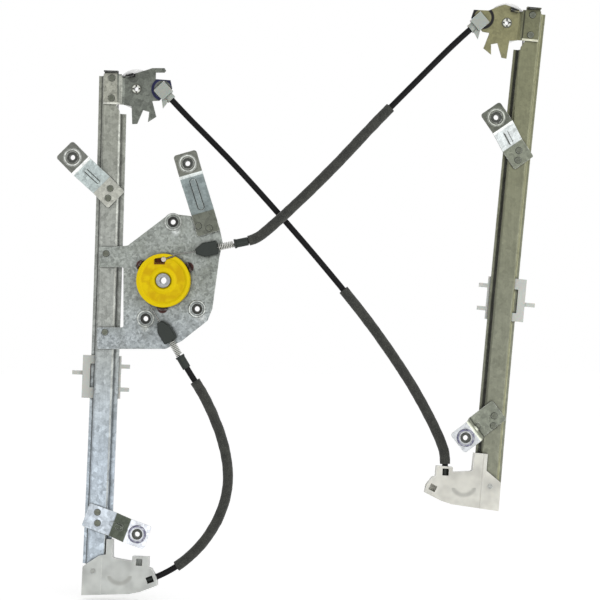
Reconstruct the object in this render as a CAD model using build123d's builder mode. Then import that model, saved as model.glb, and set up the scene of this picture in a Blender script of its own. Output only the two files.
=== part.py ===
from build123d import *
from collections import namedtuple
from math import acos, atan2, cos, degrees, hypot, pi, radians, sin, sqrt, tan
import os

# Cable window regulator with two curved rails, a drum plate and five mounting strips.
# The front looks along +Y, with +X to the right and +Z up. The origin lies on the drum's axis
# at the front face of the drum plate. All lengths are in millimetres.

os.makedirs("parts", exist_ok=True)

# Rails
curve_radius = 2500.0
web_width = 19.0
rail_depth = 9.0
flange_width = 4.5
rail_sheet = 1.2
bend_radius = 1.0
carriage_up = 232.0
carriage_down = 128.0

# Sheet parts, rivets and nuts
plate_sheet = 1.5
strip_sheet = 1.6
bracket_sheet = 1.4
seat_gap = 0.1
rivet_radius = 2.4
rivet_head = 3.4
rivet_head_height = 1.0
rivet_fit = 0.05
thread_radius = 2.5
nut_barrel = 5.3
nut_collar = 7.5
nut_collar_height = 4.4
nut_recess = 0.5
nut_fit = 0.1
boss_ring = 8.8
boss_height = 0.9
boss_dip = 7.2

# Cable, conduits and foam sleeves
cable_radius = 0.75
cable_bore = 1.3
conduit_radius = 3.0
socket_fit = 0.1
sleeve_gap = 0.3
sleeve_radius = 5.5
cord_sides = 12
cable_sides = 6

# Top pulleys
pulley_pitch = 18.5
pulley_width = 6.0
pulley_rim = 1.0
axle_radius = 3.5
axle_bore = 2.2
axle_flange = 4.9
running_fit = 0.05
side_play = 0.3
exit_slope = 45.6
exit_run = 31.3

# Drum and its spindle
drum_radius = 26.7
groove_depth = 2.2
drum_front = 14.0
drum_rear = 0.6
drum_plane = 8.0
groove_pitch = 1.9
groove_count = 5
groove_half_width = cable_radius + 0.06
spindle_radius = 6.5
spindle_bore = 3.4
spindle_flange = 9.0
spindle_bead = 7.3
motor_boss = 9.0

# Cable guides on the plate, with their springs and caps
guide_length = 22.0
guide_half = 6.8
guide_nose = 2.6
guide_nose_length = 8.0
guide_front = 5.6
spring_length = 17.0
spring_outer = 3.2
spring_wire = 0.42
spring_turns = 9
cap_length = 14.0
cap_radius = 4.2
cap_socket = 6.0

# Carriages
carriage_half = 21.5
carriage_outer = 22.0
carriage_rear = 4.0
carriage_gap = 0.2
nose_front = 3.0
nose_half = 7.8
nipple_radius = 2.0
nipple_length = 5.0
nipple_gap = 0.4
glass_boss = 9.0
glass_bore = 4.0
glass_depth = 8.0
glass_boss_height = 10.0

# Lower ends
end_front = 3.2
end_wall = 2.2
end_depth = 12.0
end_gap = 0.3
turn_height = -0.5
ferrule_radius = 4.0
ferrule_length = 9.0

# Levels that follow from the sizes above
arm_reach = 51.0
seat_rise = curve_radius - sqrt(curve_radius**2 - arm_reach**2)
web_front = plate_sheet + seat_rise + seat_gap
rail_half = web_width / 2 + flange_width
cable_level = bracket_sheet + side_play + pulley_width / 2
pulley_radius = pulley_pitch + pulley_rim
cable_across = web_width / 2 - rail_sheet - nipple_radius - nipple_gap
pulley_across = cable_across + pulley_pitch
drum_pitch = drum_radius - groove_depth

# Each rail: side is +1 where the inner side is towards +X. Stations are arc lengths up the rail,
# counted from the height where the rail lies deepest behind the plate.
Rail = namedtuple("Rail", "name side foot lean bottom bracket carriage end tongue")
left = Rail("left", 1, -58.4, 1.87, -285.0, 209.0, -79.5, -270.0, 10.0)
right = Rail("right", -1, 340.1, 5.28, -198.0, 272.0, -1.3, -187.0, 3.0)
tangent_height = -17.0
rail_above_bracket = 12.0


def save(builder, name):
    """Label a finished piece and write it as its own file."""
    builder.part.label = name
    export_step(builder.part, f"parts/{name}.step")


def rail_plane(rail, station, across=0.0, out=0.0):
    """Front view plane on the web at a station: x to the right, y up the rail, z to the front."""
    angle = station / curve_radius
    lean = radians(rail.lean)
    front = Vector(-sin(lean) * sin(angle), -cos(angle), -cos(lean) * sin(angle))
    right_hand = Vector(cos(lean), 0, -sin(lean))
    centre = Vector(rail.foot, web_front - curve_radius, tangent_height)
    origin = centre - front * (curve_radius - out) + right_hand * (across * rail.side)
    return Plane(origin=origin, x_dir=right_hand, z_dir=front)


def inner_plane(rail, station, across=0.0, out=0.0):
    """The same plane with x towards the rail's inner side, so that it is turned half round
    on the right rail."""
    plane = rail_plane(rail, station, across, out)
    return Plane(origin=plane.origin, x_dir=plane.x_dir * rail.side, z_dir=plane.z_dir)


def curve_axis(rail):
    """Axis that the rail is curved about and that its carriage swings about."""
    lean = radians(rail.lean)
    centre = (rail.foot, web_front - curve_radius, tangent_height)
    return Axis(centre, (cos(lean), 0, -sin(lean)))


def sided(rail, points):
    """Points given as (towards the inner side, up) turned into the plane's x and y."""
    return [(rail.side * across, up) for across, up in points]


def cross_plane(plane, up=0.0):
    """Section plane across a front view plane: x stays, y points to the back."""
    origin = plane.from_local_coords(Vector(0, up, 0))
    return Plane(origin=origin, x_dir=plane.x_dir, z_dir=plane.y_dir)


def hat_section(rail, station, gap=0.0):
    """Open-backed hat: web at the front, two walls back and two flanges outward."""
    inner = web_width / 2 - rail_sheet - gap
    outer = web_width / 2 + gap
    with BuildSketch(cross_plane(rail_plane(rail, station))) as hat:
        with Locations((0, -gap)):
            Rectangle(2 * outer, rail_depth + 2 * gap, align=(Align.CENTER, Align.MIN))
        with Locations((0, rail_depth + gap)):
            Rectangle(2 * (rail_half + gap), rail_sheet + 2 * gap, align=(Align.CENTER, Align.MAX))
        with Locations((0, rail_depth + gap)):
            channel = rail_depth - rail_sheet
            Rectangle(2 * inner, channel, align=(Align.CENTER, Align.MAX), mode=Mode.SUBTRACT)
        fillet(hat.vertices().group_by(Axis.Y)[1], bend_radius)
        fillet(hat.vertices().group_by(Axis.Y)[0], bend_radius + rail_sheet)
    return hat.sketch


def rail_sweep(rail, bottom, top, gap=0.0, mode=Mode.ADD):
    """Bend the hat section along the rail's curve between two stations."""
    revolve(
        hat_section(rail, bottom, gap),
        axis=curve_axis(rail),
        revolution_arc=degrees((top - bottom) / curve_radius),
        mode=mode,
    )


# Rivet places on each rail as (station, across), and the sheet that each one grips.
rivet_sites = {
    "left": [(left.bracket + 9.8, 0), (left.bracket - 9.8, 0), (109.3, 0.9), (99.6, -1.0)]
    + [(-213.8, -0.4), (-224.5, 0.1)],
    "right": [(right.bracket + 9.8, 0), (right.bracket - 9.8, 0), (147.6, -0.4), (138.0, -0.4)]
    + [(-118.5, -0.4), (-128.5, -0.4)],
}
plate_rivet_sites = [(44.1, -1.3), (-34.5, 0.1)]
pin_site = (-2.0, -1.5)
pin_radius = 2.4


def drill(plane, radius, depth):
    """Cut a round hole from in front of a plane to a depth behind it."""
    with BuildSketch(plane.offset(depth)) as hole:
        Circle(radius)
    extrude(hole.sketch, amount=-2 * depth, mode=Mode.SUBTRACT)


# Rails
relief_down = 25.0
relief_edge = 8.2
end_trim = 11.0
cable_way = 7.2


def make_rail(rail):
    top = rail.bracket + rail_above_bracket
    with BuildPart() as piece:
        rail_sweep(rail, rail.bottom, top)
        # The inner wall and flange are cut away behind the pulley, with a slanted web corner.
        with BuildSketch(rail_plane(rail, rail.bracket, out=3)):
            with BuildLine():
                Polyline(
                    sided(rail, [(5, 20), (5, -17), (relief_edge, -22.5), (relief_edge, -relief_down)]
                          + [(rail_half + 2, -relief_down), (rail_half + 2, 20)]),
                    close=True,
                )
            make_face()
        extrude(amount=-(rail_depth + 6), mode=Mode.SUBTRACT)
        # Both flanges are trimmed where the plastic end slides on.
        for across in (end_trim, -end_trim):
            trim = inner_plane(rail, rail.end + 2 * rail.side, across, out=1)
            with BuildSketch(trim):
                with Locations((4 if across > 0 else -4, -30 * rail.side)):
                    Rectangle(8, 66)
            extrude(amount=-(rail_depth + 3), mode=Mode.SUBTRACT)
        # The inner wall's lower corner makes room for the cable that turns below the channel.
        with BuildSketch(inner_plane(rail, rail.end, out=1)):
            with Locations((cable_way + 6, -rail.side * 15.5)):
                Rectangle(12, 20)
        extrude(amount=-(rail_depth + 3), mode=Mode.SUBTRACT)
        sites = rivet_sites[rail.name] + (plate_rivet_sites if rail is left else [])
        for station, across in sites:
            drill(rail_plane(rail, station, across), rivet_radius + rivet_fit, 3)
        drill(rail_plane(rail, rail.end + pin_site[1], pin_site[0]), pin_radius + rivet_fit, 3)
    return piece


left_rail = make_rail(left)
right_rail = make_rail(right)
save(left_rail, "left_rail")
save(right_rail, "right_rail")


# Rivets: a head in front of the sheet, a shank and a closing head behind the web.
def add_rivet(plane, grip_front, grip_rear):
    with BuildSketch(plane.offset(grip_front)) as shank:
        Circle(rivet_radius)
    extrude(shank.sketch, amount=-(grip_front - grip_rear))
    for level, height in ((grip_front, rivet_head_height), (grip_rear, -rivet_head_height)):
        with BuildSketch(plane.offset(level)) as head:
            Circle(rivet_head)
        extrude(head.sketch, amount=height, taper=22)


strip_front = seat_gap + strip_sheet
bracket_front = seat_gap + bracket_sheet


def make_rail_rivets(rail):
    with BuildPart() as piece:
        for index, (station, across) in enumerate(rivet_sites[rail.name]):
            front = bracket_front if index < 2 else strip_front
            add_rivet(rail_plane(rail, station, across), front + 0.02, -rail_sheet - 0.02)
    return piece


left_rail_rivets = make_rail_rivets(left)
right_rail_rivets = make_rail_rivets(right)
save(left_rail_rivets, "left_rail_rivets")
save(right_rail_rivets, "right_rail_rivets")


# Mounting strips: a foot on the rail or plate, a slope with a rib and a raised pad with its nut.
# along is the direction from the foot's free end to the pad, counted from +X in the front view.
Strip = namedtuple("Strip", "name width foot slope pad nut rib rib_width gusset")
pad_level = 22.0
strip_bend = 2.5
pad_corner = 3.0
foot_corner = 2.0
rib_height = 1.8
rib_taper = 32
gusset_reach = 4.5
gusset_width = 4.0


def strip_plane(base, start, along):
    """Plane on the foot's rear face, x running from the foot's free end to the pad."""
    direction = Vector(cos(radians(along)), 0, sin(radians(along)))
    flat = direction - base.z_dir * direction.dot(base.z_dir)
    anchor = Vector(start[0], base.origin.Y, start[1])
    drop = (anchor - base.origin).dot(base.z_dir)
    return Plane(origin=anchor - base.z_dir * drop, x_dir=flat.normalized(), z_dir=base.z_dir)


def pad_rise(plane, strip):
    """Height of the pad's rear face above the foot's, so that the nut lies at the pad level."""
    nut = plane.from_local_coords(Vector(strip.nut, 0, 0))
    return (pad_level + nut.Y) / abs(plane.z_dir.Y) - strip_sheet


def add_boss(plane, radius):
    """Raised ring with a dip round the nut's hole, on a sheet whose front face is the plane."""
    with BuildSketch(plane) as ring:
        Circle(radius)
    extrude(ring.sketch, amount=boss_height, taper=35)
    with BuildSketch(plane.offset(boss_height)) as dip:
        Circle(boss_dip)
    extrude(dip.sketch, amount=-boss_height, taper=50, mode=Mode.SUBTRACT)
    drill(plane, nut_barrel + nut_fit, 4)


def make_strip(strip, plane, holes):
    rise = pad_rise(plane, strip)
    total = strip.foot + strip.slope + strip.pad
    side_view = Plane(origin=plane.origin, x_dir=plane.x_dir, z_dir=-plane.y_dir)
    slope_angle = atan2(rise, strip.slope)
    with BuildPart() as piece:
        with BuildSketch(side_view):
            with BuildLine():
                line = FilletPolyline(
                    (0, 0), (strip.foot, 0), (strip.foot + strip.slope, rise), (total, rise),
                    radius=strip_bend,
                )
                offset(line, amount=strip_sheet, side=Side.LEFT)
            make_face()
        extrude(amount=strip.width / 2, both=True)
        ends = piece.edges().filter_by(Axis(plane.origin, plane.z_dir)).sort_by(
            Axis(plane.origin, plane.x_dir))
        fillet(ends[:2], foot_corner)
        ends = piece.edges().filter_by(Axis(plane.origin, plane.z_dir)).sort_by(
            Axis(plane.origin, plane.x_dir))
        fillet(ends[-2:], pad_corner)
        # Rib pressed up along the middle of the slope.
        middle = Vector(strip.foot + strip.slope / 2, 0, rise / 2)
        slope_length = hypot(strip.slope, rise)
        slope_plane = Plane(
            origin=plane.from_local_coords(middle),
            x_dir=(plane.x_dir * strip.slope + plane.z_dir * rise).normalized(),
            z_dir=(plane.z_dir * strip.slope - plane.x_dir * rise).normalized(),
        )
        with BuildSketch(slope_plane.offset(strip_sheet)):
            SlotOverall(slope_length * strip.rib, strip.rib_width)
        extrude(amount=rib_height, taper=rib_taper)
        # Gusset in the bend at the foot.
        if strip.gusset:
            corner = Vector(strip.foot - strip_sheet * tan(slope_angle / 2), strip_sheet)
            uphill = Vector(cos(slope_angle), sin(slope_angle))
            inward = Vector(sin(slope_angle), -cos(slope_angle))
            with BuildSketch(side_view):
                with BuildLine():
                    Polyline(
                        corner - Vector(gusset_reach, 0.4), corner + inward * 0.8,
                        corner + uphill * gusset_reach + inward * 0.4,
                        close=True,
                    )
                make_face()
            extrude(amount=gusset_width / 2, both=True)
        # Raised ring and nut hole on the pad.
        nut_plane = Plane(
            origin=plane.from_local_coords(Vector(strip.nut, 0, rise + strip_sheet)),
            x_dir=plane.x_dir, z_dir=plane.z_dir,
        )
        add_boss(nut_plane, boss_ring)
        for hole in holes:
            drill(hole, rivet_radius + rivet_fit, 4)
    return piece, nut_plane


strips = {
    "left_upper_mount": (
        Strip("left_upper_mount", 23.5, 20.8, 25.9, 22.9, 58.1, 0.72, 4.5, False),
        strip_plane(rail_plane(left, 104.5, out=seat_gap), (-47.8, 80.7), 134.5),
        [rail_plane(left, *site) for site in rivet_sites["left"][2:4]],
    ),
    "left_lower_mount": (
        Strip("left_lower_mount", 24.0, 28.9, 16.2, 21.9, 55.8, 0.55, 6.0, True),
        strip_plane(rail_plane(left, -219.2, out=seat_gap), (-77.4, -232.4), -19.9),
        [rail_plane(left, *site) for site in rivet_sites["left"][4:6]],
    ),
    "right_upper_mount": (
        Strip("right_upper_mount", 23.0, 21.1, 20.3, 23.1, 53.5, 0.75, 5.0, False),
        strip_plane(rail_plane(right, 142.8, out=seat_gap), (359.4, 117.5), 124.3),
        [rail_plane(right, *site) for site in rivet_sites["right"][2:4]],
    ),
    "right_lower_mount": (
        Strip("right_lower_mount", 23.5, 29.3, 5.0, 20.8, 44.9, 0.5, 7.0, True),
        strip_plane(rail_plane(right, -123.5, out=seat_gap), (334.7, -129.0), 217.1),
        [rail_plane(right, *site) for site in rivet_sites["right"][4:6]],
    ),
    "plate_mount": (
        Strip("plate_mount", 23.5, 22.3, 38.0, 21.8, 71.2, 0.84, 7.5, False),
        strip_plane(Plane.XZ.offset(seat_gap), (44.6, 46.9), 106.0),
        [Plane(origin=(34.3, 0, 54.7), x_dir=(1, 0, 0), z_dir=(0, -1, 0)),
         Plane(origin=(45.0, 0, 52.5), x_dir=(1, 0, 0), z_dir=(0, -1, 0))],
    ),
}
nut_planes = {}
for name, (strip, plane, holes) in strips.items():
    mount_strip, nut_planes[name] = make_strip(strip, plane, holes)
    save(mount_strip, name)


# Clinch nuts: a barrel in the sheet's hole and a collar behind it.
def add_nut(plane, sheet):
    """Nut behind a sheet whose front face is the plane."""
    with BuildSketch(plane.offset(-nut_recess)) as barrel:
        Circle(nut_barrel)
    extrude(barrel.sketch, amount=-(sheet - nut_recess))
    with BuildSketch(plane.offset(-sheet)) as collar:
        RegularPolygon(nut_collar, 6)
    extrude(collar.sketch, amount=-nut_collar_height)
    drill(plane, thread_radius, sheet + nut_collar_height + 2)


with BuildPart() as mount_nuts:
    for plane in nut_planes.values():
        add_nut(plane, strip_sheet)
save(mount_nuts, "mount_nuts")

# Drum plate
motor_sites = [(8.7, 58.7), (-18.7, -38.0), (32.8, -28.2)]
keeper_angles = (146.0, 266.0, 28.6)
keeper_radius = drum_radius + 1.3
keeper_width = 10.0
window_start = spindle_flange + 9.0
window_end = drum_radius - 0.6
keeper_height = 11.0
upper_mouth = (32.2, 28.7)
upper_slope = 11.5
lower_mouth = (-3.8, -41.3)
lower_slope = -59.5


def guide_plane(mouth, slope):
    """Front view plane at a guide's mouth, x along the conduit that leaves it."""
    direction = (cos(radians(slope)), 0, sin(radians(slope)))
    return Plane(origin=(mouth[0], -drum_plane, mouth[1]), x_dir=direction, z_dir=(0, -1, 0))


upper_guide = guide_plane(upper_mouth, upper_slope)
lower_guide = guide_plane(lower_mouth, lower_slope)
foot_start = 11.0
foot_half = 3.4
foot_end = 19.0

with BuildPart() as drum_plate:
    with BuildSketch(Plane.XZ) as outline:
        with BuildLine():
            Polyline(
                (-65.3, 34.1), (-48.5, 34.1), (-36.6, 35.2), (3.9, 65.9), (12.8, 66.3),
                (24.5, 65.0), (52.0, 58.5), (55.3, 52.5), (58.4, 38.2), (55.0, 23.3),
                (48.0, -28.2), (43.1, -40.1), (17.6, -60.2), (1.3, -68.3), (-67.3, -68.3),
                (-67.3, -46.6), (-40.9, -46.6), (-40.9, 13.5), (-65.3, 13.5),
                close=True,
            )
        make_face()
        fillet(outline.vertices(), 1.8)
    extrude(amount=-plate_sheet)
    # Raised bosses for the motor's screws.
    for site in motor_sites:
        add_boss(Plane(origin=(site[0], 0, site[1]), x_dir=(1, 0, 0), z_dir=(0, -1, 0)), motor_boss)
    # Keepers bent up round the drum, out of windows that lie under it.
    for angle in keeper_angles:
        turned = Plane(origin=(0, 0, 0), x_dir=(cos(radians(angle)), 0, sin(radians(angle))),
                       z_dir=(0, -1, 0))
        with BuildSketch(turned):
            Circle(keeper_radius + plate_sheet)
            Circle(keeper_radius, mode=Mode.SUBTRACT)
            with Locations((keeper_radius, 0)):
                Rectangle(4 * plate_sheet, keeper_width, mode=Mode.INTERSECT)
        extrude(amount=keeper_height)
        with BuildSketch(turned.offset(1)):
            with Locations(((window_start + window_end) / 2, 0)):
                RectangleRounded(window_end - window_start, keeper_width - 1, 1)
        extrude(amount=-plate_sheet - 2, mode=Mode.SUBTRACT)
    # Seats for the two guides' feet, the spindle's hole and the rivet holes.
    for guide in (upper_guide, lower_guide):
        with BuildSketch(guide.offset(-drum_plane + 1)):
            with Locations(((foot_start + foot_end) / 2, 0)):
                Rectangle(foot_end - foot_start + 0.3, 2 * foot_half + 0.3)
        extrude(amount=-plate_sheet - 2, mode=Mode.SUBTRACT)
    drill(Plane.XZ, spindle_radius + rivet_fit, 4)
    for station, across in plate_rivet_sites:
        drill(rail_plane(left, station, across), rivet_radius + rivet_fit, 5)
    for hole in strips["plate_mount"][2]:
        drill(hole, rivet_radius + rivet_fit, 4)
save(drum_plate, "drum_plate")

with BuildPart() as plate_rivets:
    for station, across in plate_rivet_sites:
        plane = rail_plane(left, station, across)
        add_rivet(plane, abs(plane.origin.Y) + 0.1, -rail_sheet - 0.02)
    for hole in strips["plate_mount"][2]:
        add_rivet(hole, strip_front + 0.02, -plate_sheet - 0.02)
save(plate_rivets, "plate_rivets")

with BuildPart() as motor_nuts:
    for site in motor_sites:
        add_nut(Plane(origin=(site[0], 0, site[1]), x_dir=(1, 0, 0), z_dir=(0, -1, 0)), plate_sheet)
save(motor_nuts, "motor_nuts")

# Spindle: a hollow bush closed over the plate's rear face.
with BuildPart() as drum_spindle:
    with BuildSketch(Plane.XZ.offset(-plate_sheet)):
        Circle(spindle_radius)
    extrude(amount=plate_sheet + drum_front + 0.6)
    chamfer(drum_spindle.edges().filter_by(GeomType.CIRCLE).sort_by(Axis.Y)[0], 0.6)
    with BuildSketch(Plane.XZ.offset(-plate_sheet)):
        Circle(spindle_flange)
    extrude(amount=-1.2)
    # The front end is swaged over the drum's boss, which keeps the drum on.
    with BuildSketch(Plane.XZ.offset(drum_front - 0.3)):
        Circle(spindle_bead)
    extrude(amount=0.9, taper=25)
    drill(Plane.XZ, spindle_bore, drum_front + 4)
save(drum_spindle, "drum_spindle")

# Cable drum: grooves for the turns, a dished face, and a pocket and slot for the cable's end.
pocket_place = (-3.2, drum_pitch - 4.7)
nipple_place = (0.5, drum_pitch - 3.5)
slot_end = radians(63.6)
slot_mouth = ((drum_radius + 0.8) * cos(slot_end), (drum_radius + 0.8) * sin(slot_end))
pocket_depth = 4.0
slot_depth = drum_front - drum_plane + 1.2
rear_angle = radians(228)
rear_nipple = ((drum_pitch - 3.6) * cos(rear_angle), (drum_pitch - 3.6) * sin(rear_angle))
rim_width = 3.2
rim_slope = 1.8
dish_depth = 1.8
dish_inner = spindle_radius + 7.5
hub_foot = spindle_radius + 4.5
hub_top = spindle_radius + 2.3
hub_drop = 0.6


def groove_level(index):
    """Distance of a groove's middle in front of the plate."""
    return drum_plane + (index - (groove_count - 1) / 2) * groove_pitch


with BuildPart() as cable_drum:
    with BuildSketch(Plane.XY) as half:
        with BuildLine():
            Polyline(
                (spindle_radius + running_fit, -drum_rear),
                (drum_radius, -drum_rear), (drum_radius, -drum_front),
                (drum_radius - rim_width, -drum_front),
                (drum_radius - rim_width - rim_slope, -drum_front + dish_depth - 0.4),
                (dish_inner, -drum_front + dish_depth), (hub_foot, -drum_front + hub_drop),
                (hub_top, -drum_front + hub_drop), (spindle_radius + running_fit, -drum_front + 2.0),
                close=True,
            )
        make_face()
        trough = groove_count * groove_pitch
        with Locations((drum_radius + 1, -drum_plane)):
            Rectangle(2 * (drum_radius + 1 - drum_pitch), trough, mode=Mode.SUBTRACT)
        for index in range(groove_count):
            with Locations(Location((drum_pitch, -groove_level(index)), 45)):
                Rectangle(2 * groove_half_width, 2 * groove_half_width, mode=Mode.SUBTRACT)
    revolve(axis=Axis.Y)
    with BuildSketch(Plane.XZ.offset(drum_front + 1)):
        with Locations(pocket_place):
            RectangleRounded(10.5, 4.6, 1.5)
        with Locations(nipple_place):
            Circle(2.6)
    extrude(amount=-pocket_depth - 1, mode=Mode.SUBTRACT)
    slot_angle = degrees(atan2(slot_mouth[1] - nipple_place[1], slot_mouth[0] - nipple_place[0]))
    with BuildSketch(Plane.XZ.offset(drum_front + 1)):
        with Locations(Location(((nipple_place[0] + slot_mouth[0]) / 2 + 1.5,
                                 (nipple_place[1] + slot_mouth[1]) / 2 + 0.45), slot_angle)):
            Rectangle(14.0, 2.0)
    extrude(amount=-slot_depth - 1, mode=Mode.SUBTRACT)
    with BuildSketch(Plane.XZ.offset(drum_rear - 1)):
        with Locations(rear_nipple):
            Circle(2.6)
    extrude(amount=pocket_depth + 1, mode=Mode.SUBTRACT)
save(cable_drum, "cable_drum")

# The cable's two ends in the drum, and the turns that lie in its grooves.
with BuildPart() as drum_cable_ends:
    with BuildSketch(Plane.XZ.offset(drum_front - pocket_depth + 0.1)):
        with Locations(nipple_place):
            Circle(2.4)
    extrude(amount=pocket_depth - 0.6)
    strand_level = drum_front - pocket_depth + 1.6
    strand_start = Vector(nipple_place[0], -strand_level, nipple_place[1])
    strand_end = Vector(slot_mouth[0] - 1.2, -strand_level, slot_mouth[1] - 0.35)
    with BuildLine() as strand:
        Line(strand_start, strand_end)
    with BuildSketch(Plane(origin=strand_start, z_dir=strand_end - strand_start)):
        Circle(cable_radius)
    sweep(path=strand.line)
    with BuildSketch(Plane.XZ.offset(drum_rear + 0.3)):
        with Locations(rear_nipple):
            Circle(2.4)
    extrude(amount=pocket_depth - 0.6)
save(drum_cable_ends, "drum_cable_ends")

with BuildPart() as drum_cable_turns:
    for index in (0, 1, 3):
        with BuildSketch(Plane.XY):
            with Locations((drum_pitch, -groove_level(index))):
                RegularPolygon(cable_radius, cable_sides)
        revolve(axis=Axis.Y)
save(drum_cable_turns, "drum_cable_turns")


# Cable guides: a nosed block with a foot in the plate, the spring behind it and the spring's cap.
def make_guide(plane):
    with BuildPart() as piece:
        with BuildSketch(plane.offset(guide_front)) as outline:
            with BuildLine():
                Polyline(
                    (0, -guide_nose), (guide_nose_length, -guide_half),
                    (guide_length, -guide_half), (guide_length, guide_half),
                    (guide_nose_length, guide_half), (0, guide_nose),
                    close=True,
                )
            make_face()
            fillet(outline.vertices(), 1.4)
        extrude(amount=-(guide_front + drum_plane - seat_gap))
        front_rim = piece.faces().sort_by(Axis(plane.origin, plane.z_dir))[-1].edges()
        chamfer(front_rim, 0.8)
        with BuildSketch(plane.offset(-drum_plane + seat_gap)):
            with Locations(((foot_start + foot_end) / 2, 0)):
                Rectangle(foot_end - foot_start, 2 * foot_half)
        extrude(amount=-(plate_sheet + 0.4))
        along = Plane(origin=plane.origin, z_dir=plane.x_dir)
        with BuildSketch(along.offset(-1)):
            Circle(cable_bore)
        extrude(amount=guide_length + 2, mode=Mode.SUBTRACT)
    return piece


def make_spring(plane):
    pitch = (spring_length - 2 * spring_wire - 0.6) / spring_turns
    middle = spring_outer - spring_wire
    start = plane.from_local_coords(Vector(guide_length + spring_wire + 0.3, 0, 0))
    with BuildPart() as piece:
        with BuildLine():
            coil = Helix(pitch=pitch, height=pitch * spring_turns, radius=middle,
                         center=start, direction=plane.x_dir)
        with BuildSketch(Plane(origin=coil @ 0, z_dir=coil % 0)):
            RegularPolygon(spring_wire, 4)
        sweep(path=coil, is_frenet=True)
    return piece


cap_start = guide_length + spring_length
cap_end = cap_start + cap_length
conduit_start = cap_end - cap_socket


def make_cap(plane):
    along = Plane(origin=plane.origin, z_dir=plane.x_dir)
    with BuildPart() as piece:
        with BuildSketch(along.offset(cap_start)):
            Circle(cap_radius + 0.5)
        extrude(amount=2.0)
        with BuildSketch(along.offset(cap_start + 2.0)):
            Circle(cap_radius)
        extrude(amount=cap_length - 2.0)
        with BuildSketch(along.offset(cap_start - 1)):
            Circle(cable_bore)
        extrude(amount=cap_length + 2, mode=Mode.SUBTRACT)
        with BuildSketch(along.offset(conduit_start - 0.3)):
            Circle(conduit_radius + socket_fit)
        extrude(amount=cap_socket + 2, mode=Mode.SUBTRACT)
    return piece


for name, plane in (("upper", upper_guide), ("lower", lower_guide)):
    save(make_guide(plane), f"{name}_cable_guide")
    save(make_spring(plane), f"{name}_tension_spring")
    save(make_cap(plane), f"{name}_spring_cap")


# Pulley stations. Places are (towards the inner side, up) from the middle of the foot.
step_out = 3.0
notch_start = exit_run - 18.6
cradle_end = notch_start + 11.3
fan_points = [
    (12.5, -16.3), (20.0, -17.3), (21.0, -35.0), (26.0, -34.6), (31.6, -20.8), (37.7, -22.4),
    (36.6, -32.5), (44.9, -27.0), (40.5, -11.5),
]
# The fan's outline round the cradle, as (along, across) the cable from its tangent point.
cradle_points = [
    (cradle_end, -9.7), (cradle_end, -5.5), (cradle_end, 8.0), (notch_start + 4.0, 12.5),
    (notch_start - 6.8, 2.35),
]
hook_points = [(43.5, 16.7), (52.0, 16.9), (53.6, 18.9), (51.9, 21.5), (39.9, 21.1), (22.5, 15.0)]
round_points = [(33.5, 15.6), (28.0, 17.6), (22.5, 16.4)]
notch_half = 6.85
clip_length = 13.0
collar_length = exit_run - (notch_start + clip_length)
clip_front = 2.2
clip_rear = 10.2
lip_length = 7.0


def station_plane(rail, out=0.0):
    return rail_plane(rail, rail.bracket, out=out)


def exit_plane(rail, out=0.0):
    """Front view plane at the pulley's tangent point, x along the cable towards the conduit."""
    slope = radians(exit_slope)
    plane = station_plane(rail, out)
    tangent = (pulley_across + pulley_pitch * sin(slope), pulley_pitch * cos(slope))
    direction = Vector(cos(slope) * rail.side, -sin(slope), 0)
    origin = plane.from_local_coords(Vector(tangent[0] * rail.side, tangent[1], 0))
    x_dir = plane.x_dir * direction.X + plane.y_dir * direction.Y
    return Plane(origin=origin, x_dir=x_dir, z_dir=plane.z_dir)


def cradle_outline():
    """The cradle's points as (towards the inner side, up) from the middle of the foot."""
    slope = radians(exit_slope)
    start = Vector(pulley_across + pulley_pitch * sin(slope), pulley_pitch * cos(slope))
    along = Vector(cos(slope), -sin(slope))
    across = Vector(sin(slope), cos(slope))
    places = [start + along * run + across * aside for run, aside in cradle_points]
    return [(place.X, place.Y) for place in places]


def make_pulley_bracket(rail):
    plane = station_plane(rail)
    side = rail.side
    with BuildPart() as piece:
        # Foot on the web, with a bent lip at its top.
        with BuildSketch(plane.offset(seat_gap)):
            with Locations((side * 0.8, -1)):
                Rectangle(18.0, 30.0)
            with Locations((-side * 0.4, 15)):
                Rectangle(14.0, 4.0)
        extrude(amount=bracket_sheet)
        with BuildSketch(plane.offset(seat_gap)):
            with Locations((-side * 0.4, 16.3)):
                Rectangle(14.0, bracket_sheet)
        extrude(amount=lip_length)
        # Step back from the foot to the fan.
        with BuildSketch(cross_plane(plane, -16)):
            with BuildLine():
                Polyline(
                    sided(rail, [(9.2, -seat_gap - bracket_sheet), (9.8, -seat_gap - bracket_sheet)]
                          + [(9.8 + step_out, 0), (9.8 + step_out + 0.6, 0)]
                          + [(9.8 + step_out + 0.6, bracket_sheet), (9.8 + step_out - 0.6, bracket_sheet)]
                          + [(9.2, -seat_gap)]),
                    close=True,
                )
            make_face()
        extrude(amount=28)
        # Fan with two teeth, the conduit's cradle and, on the left one, a hook.
        top = hook_points if rail is left else round_points
        with BuildSketch(plane) as fan:
            with BuildLine():
                Polyline(sided(rail, fan_points + cradle_outline() + top + [(12.5, 12.2)]), close=True)
            make_face()
        extrude(amount=-bracket_sheet)
        with BuildSketch(plane.offset(-bracket_sheet)):
            with Locations(Location((side * 17.8, 12.9), side * 15.6)):
                Rectangle(8.0, 2 * bracket_sheet)
        extrude(amount=lip_length)
        with BuildSketch(exit_plane(rail, 1)):
            with Locations((notch_start + 12, 0)):
                Rectangle(24.0, 2 * notch_half + 0.3)
        extrude(amount=-(bracket_sheet + 2), mode=Mode.SUBTRACT)
        axle_place = plane.from_local_coords(Vector(side * pulley_across, 0, 0))
        drill(Plane(origin=axle_place, x_dir=plane.x_dir, z_dir=plane.z_dir),
              axle_radius + running_fit, 4)
        for station, across in rivet_sites[rail.name][:2]:
            drill(rail_plane(rail, station, across), rivet_radius + rivet_fit, 4)
    return piece


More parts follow.
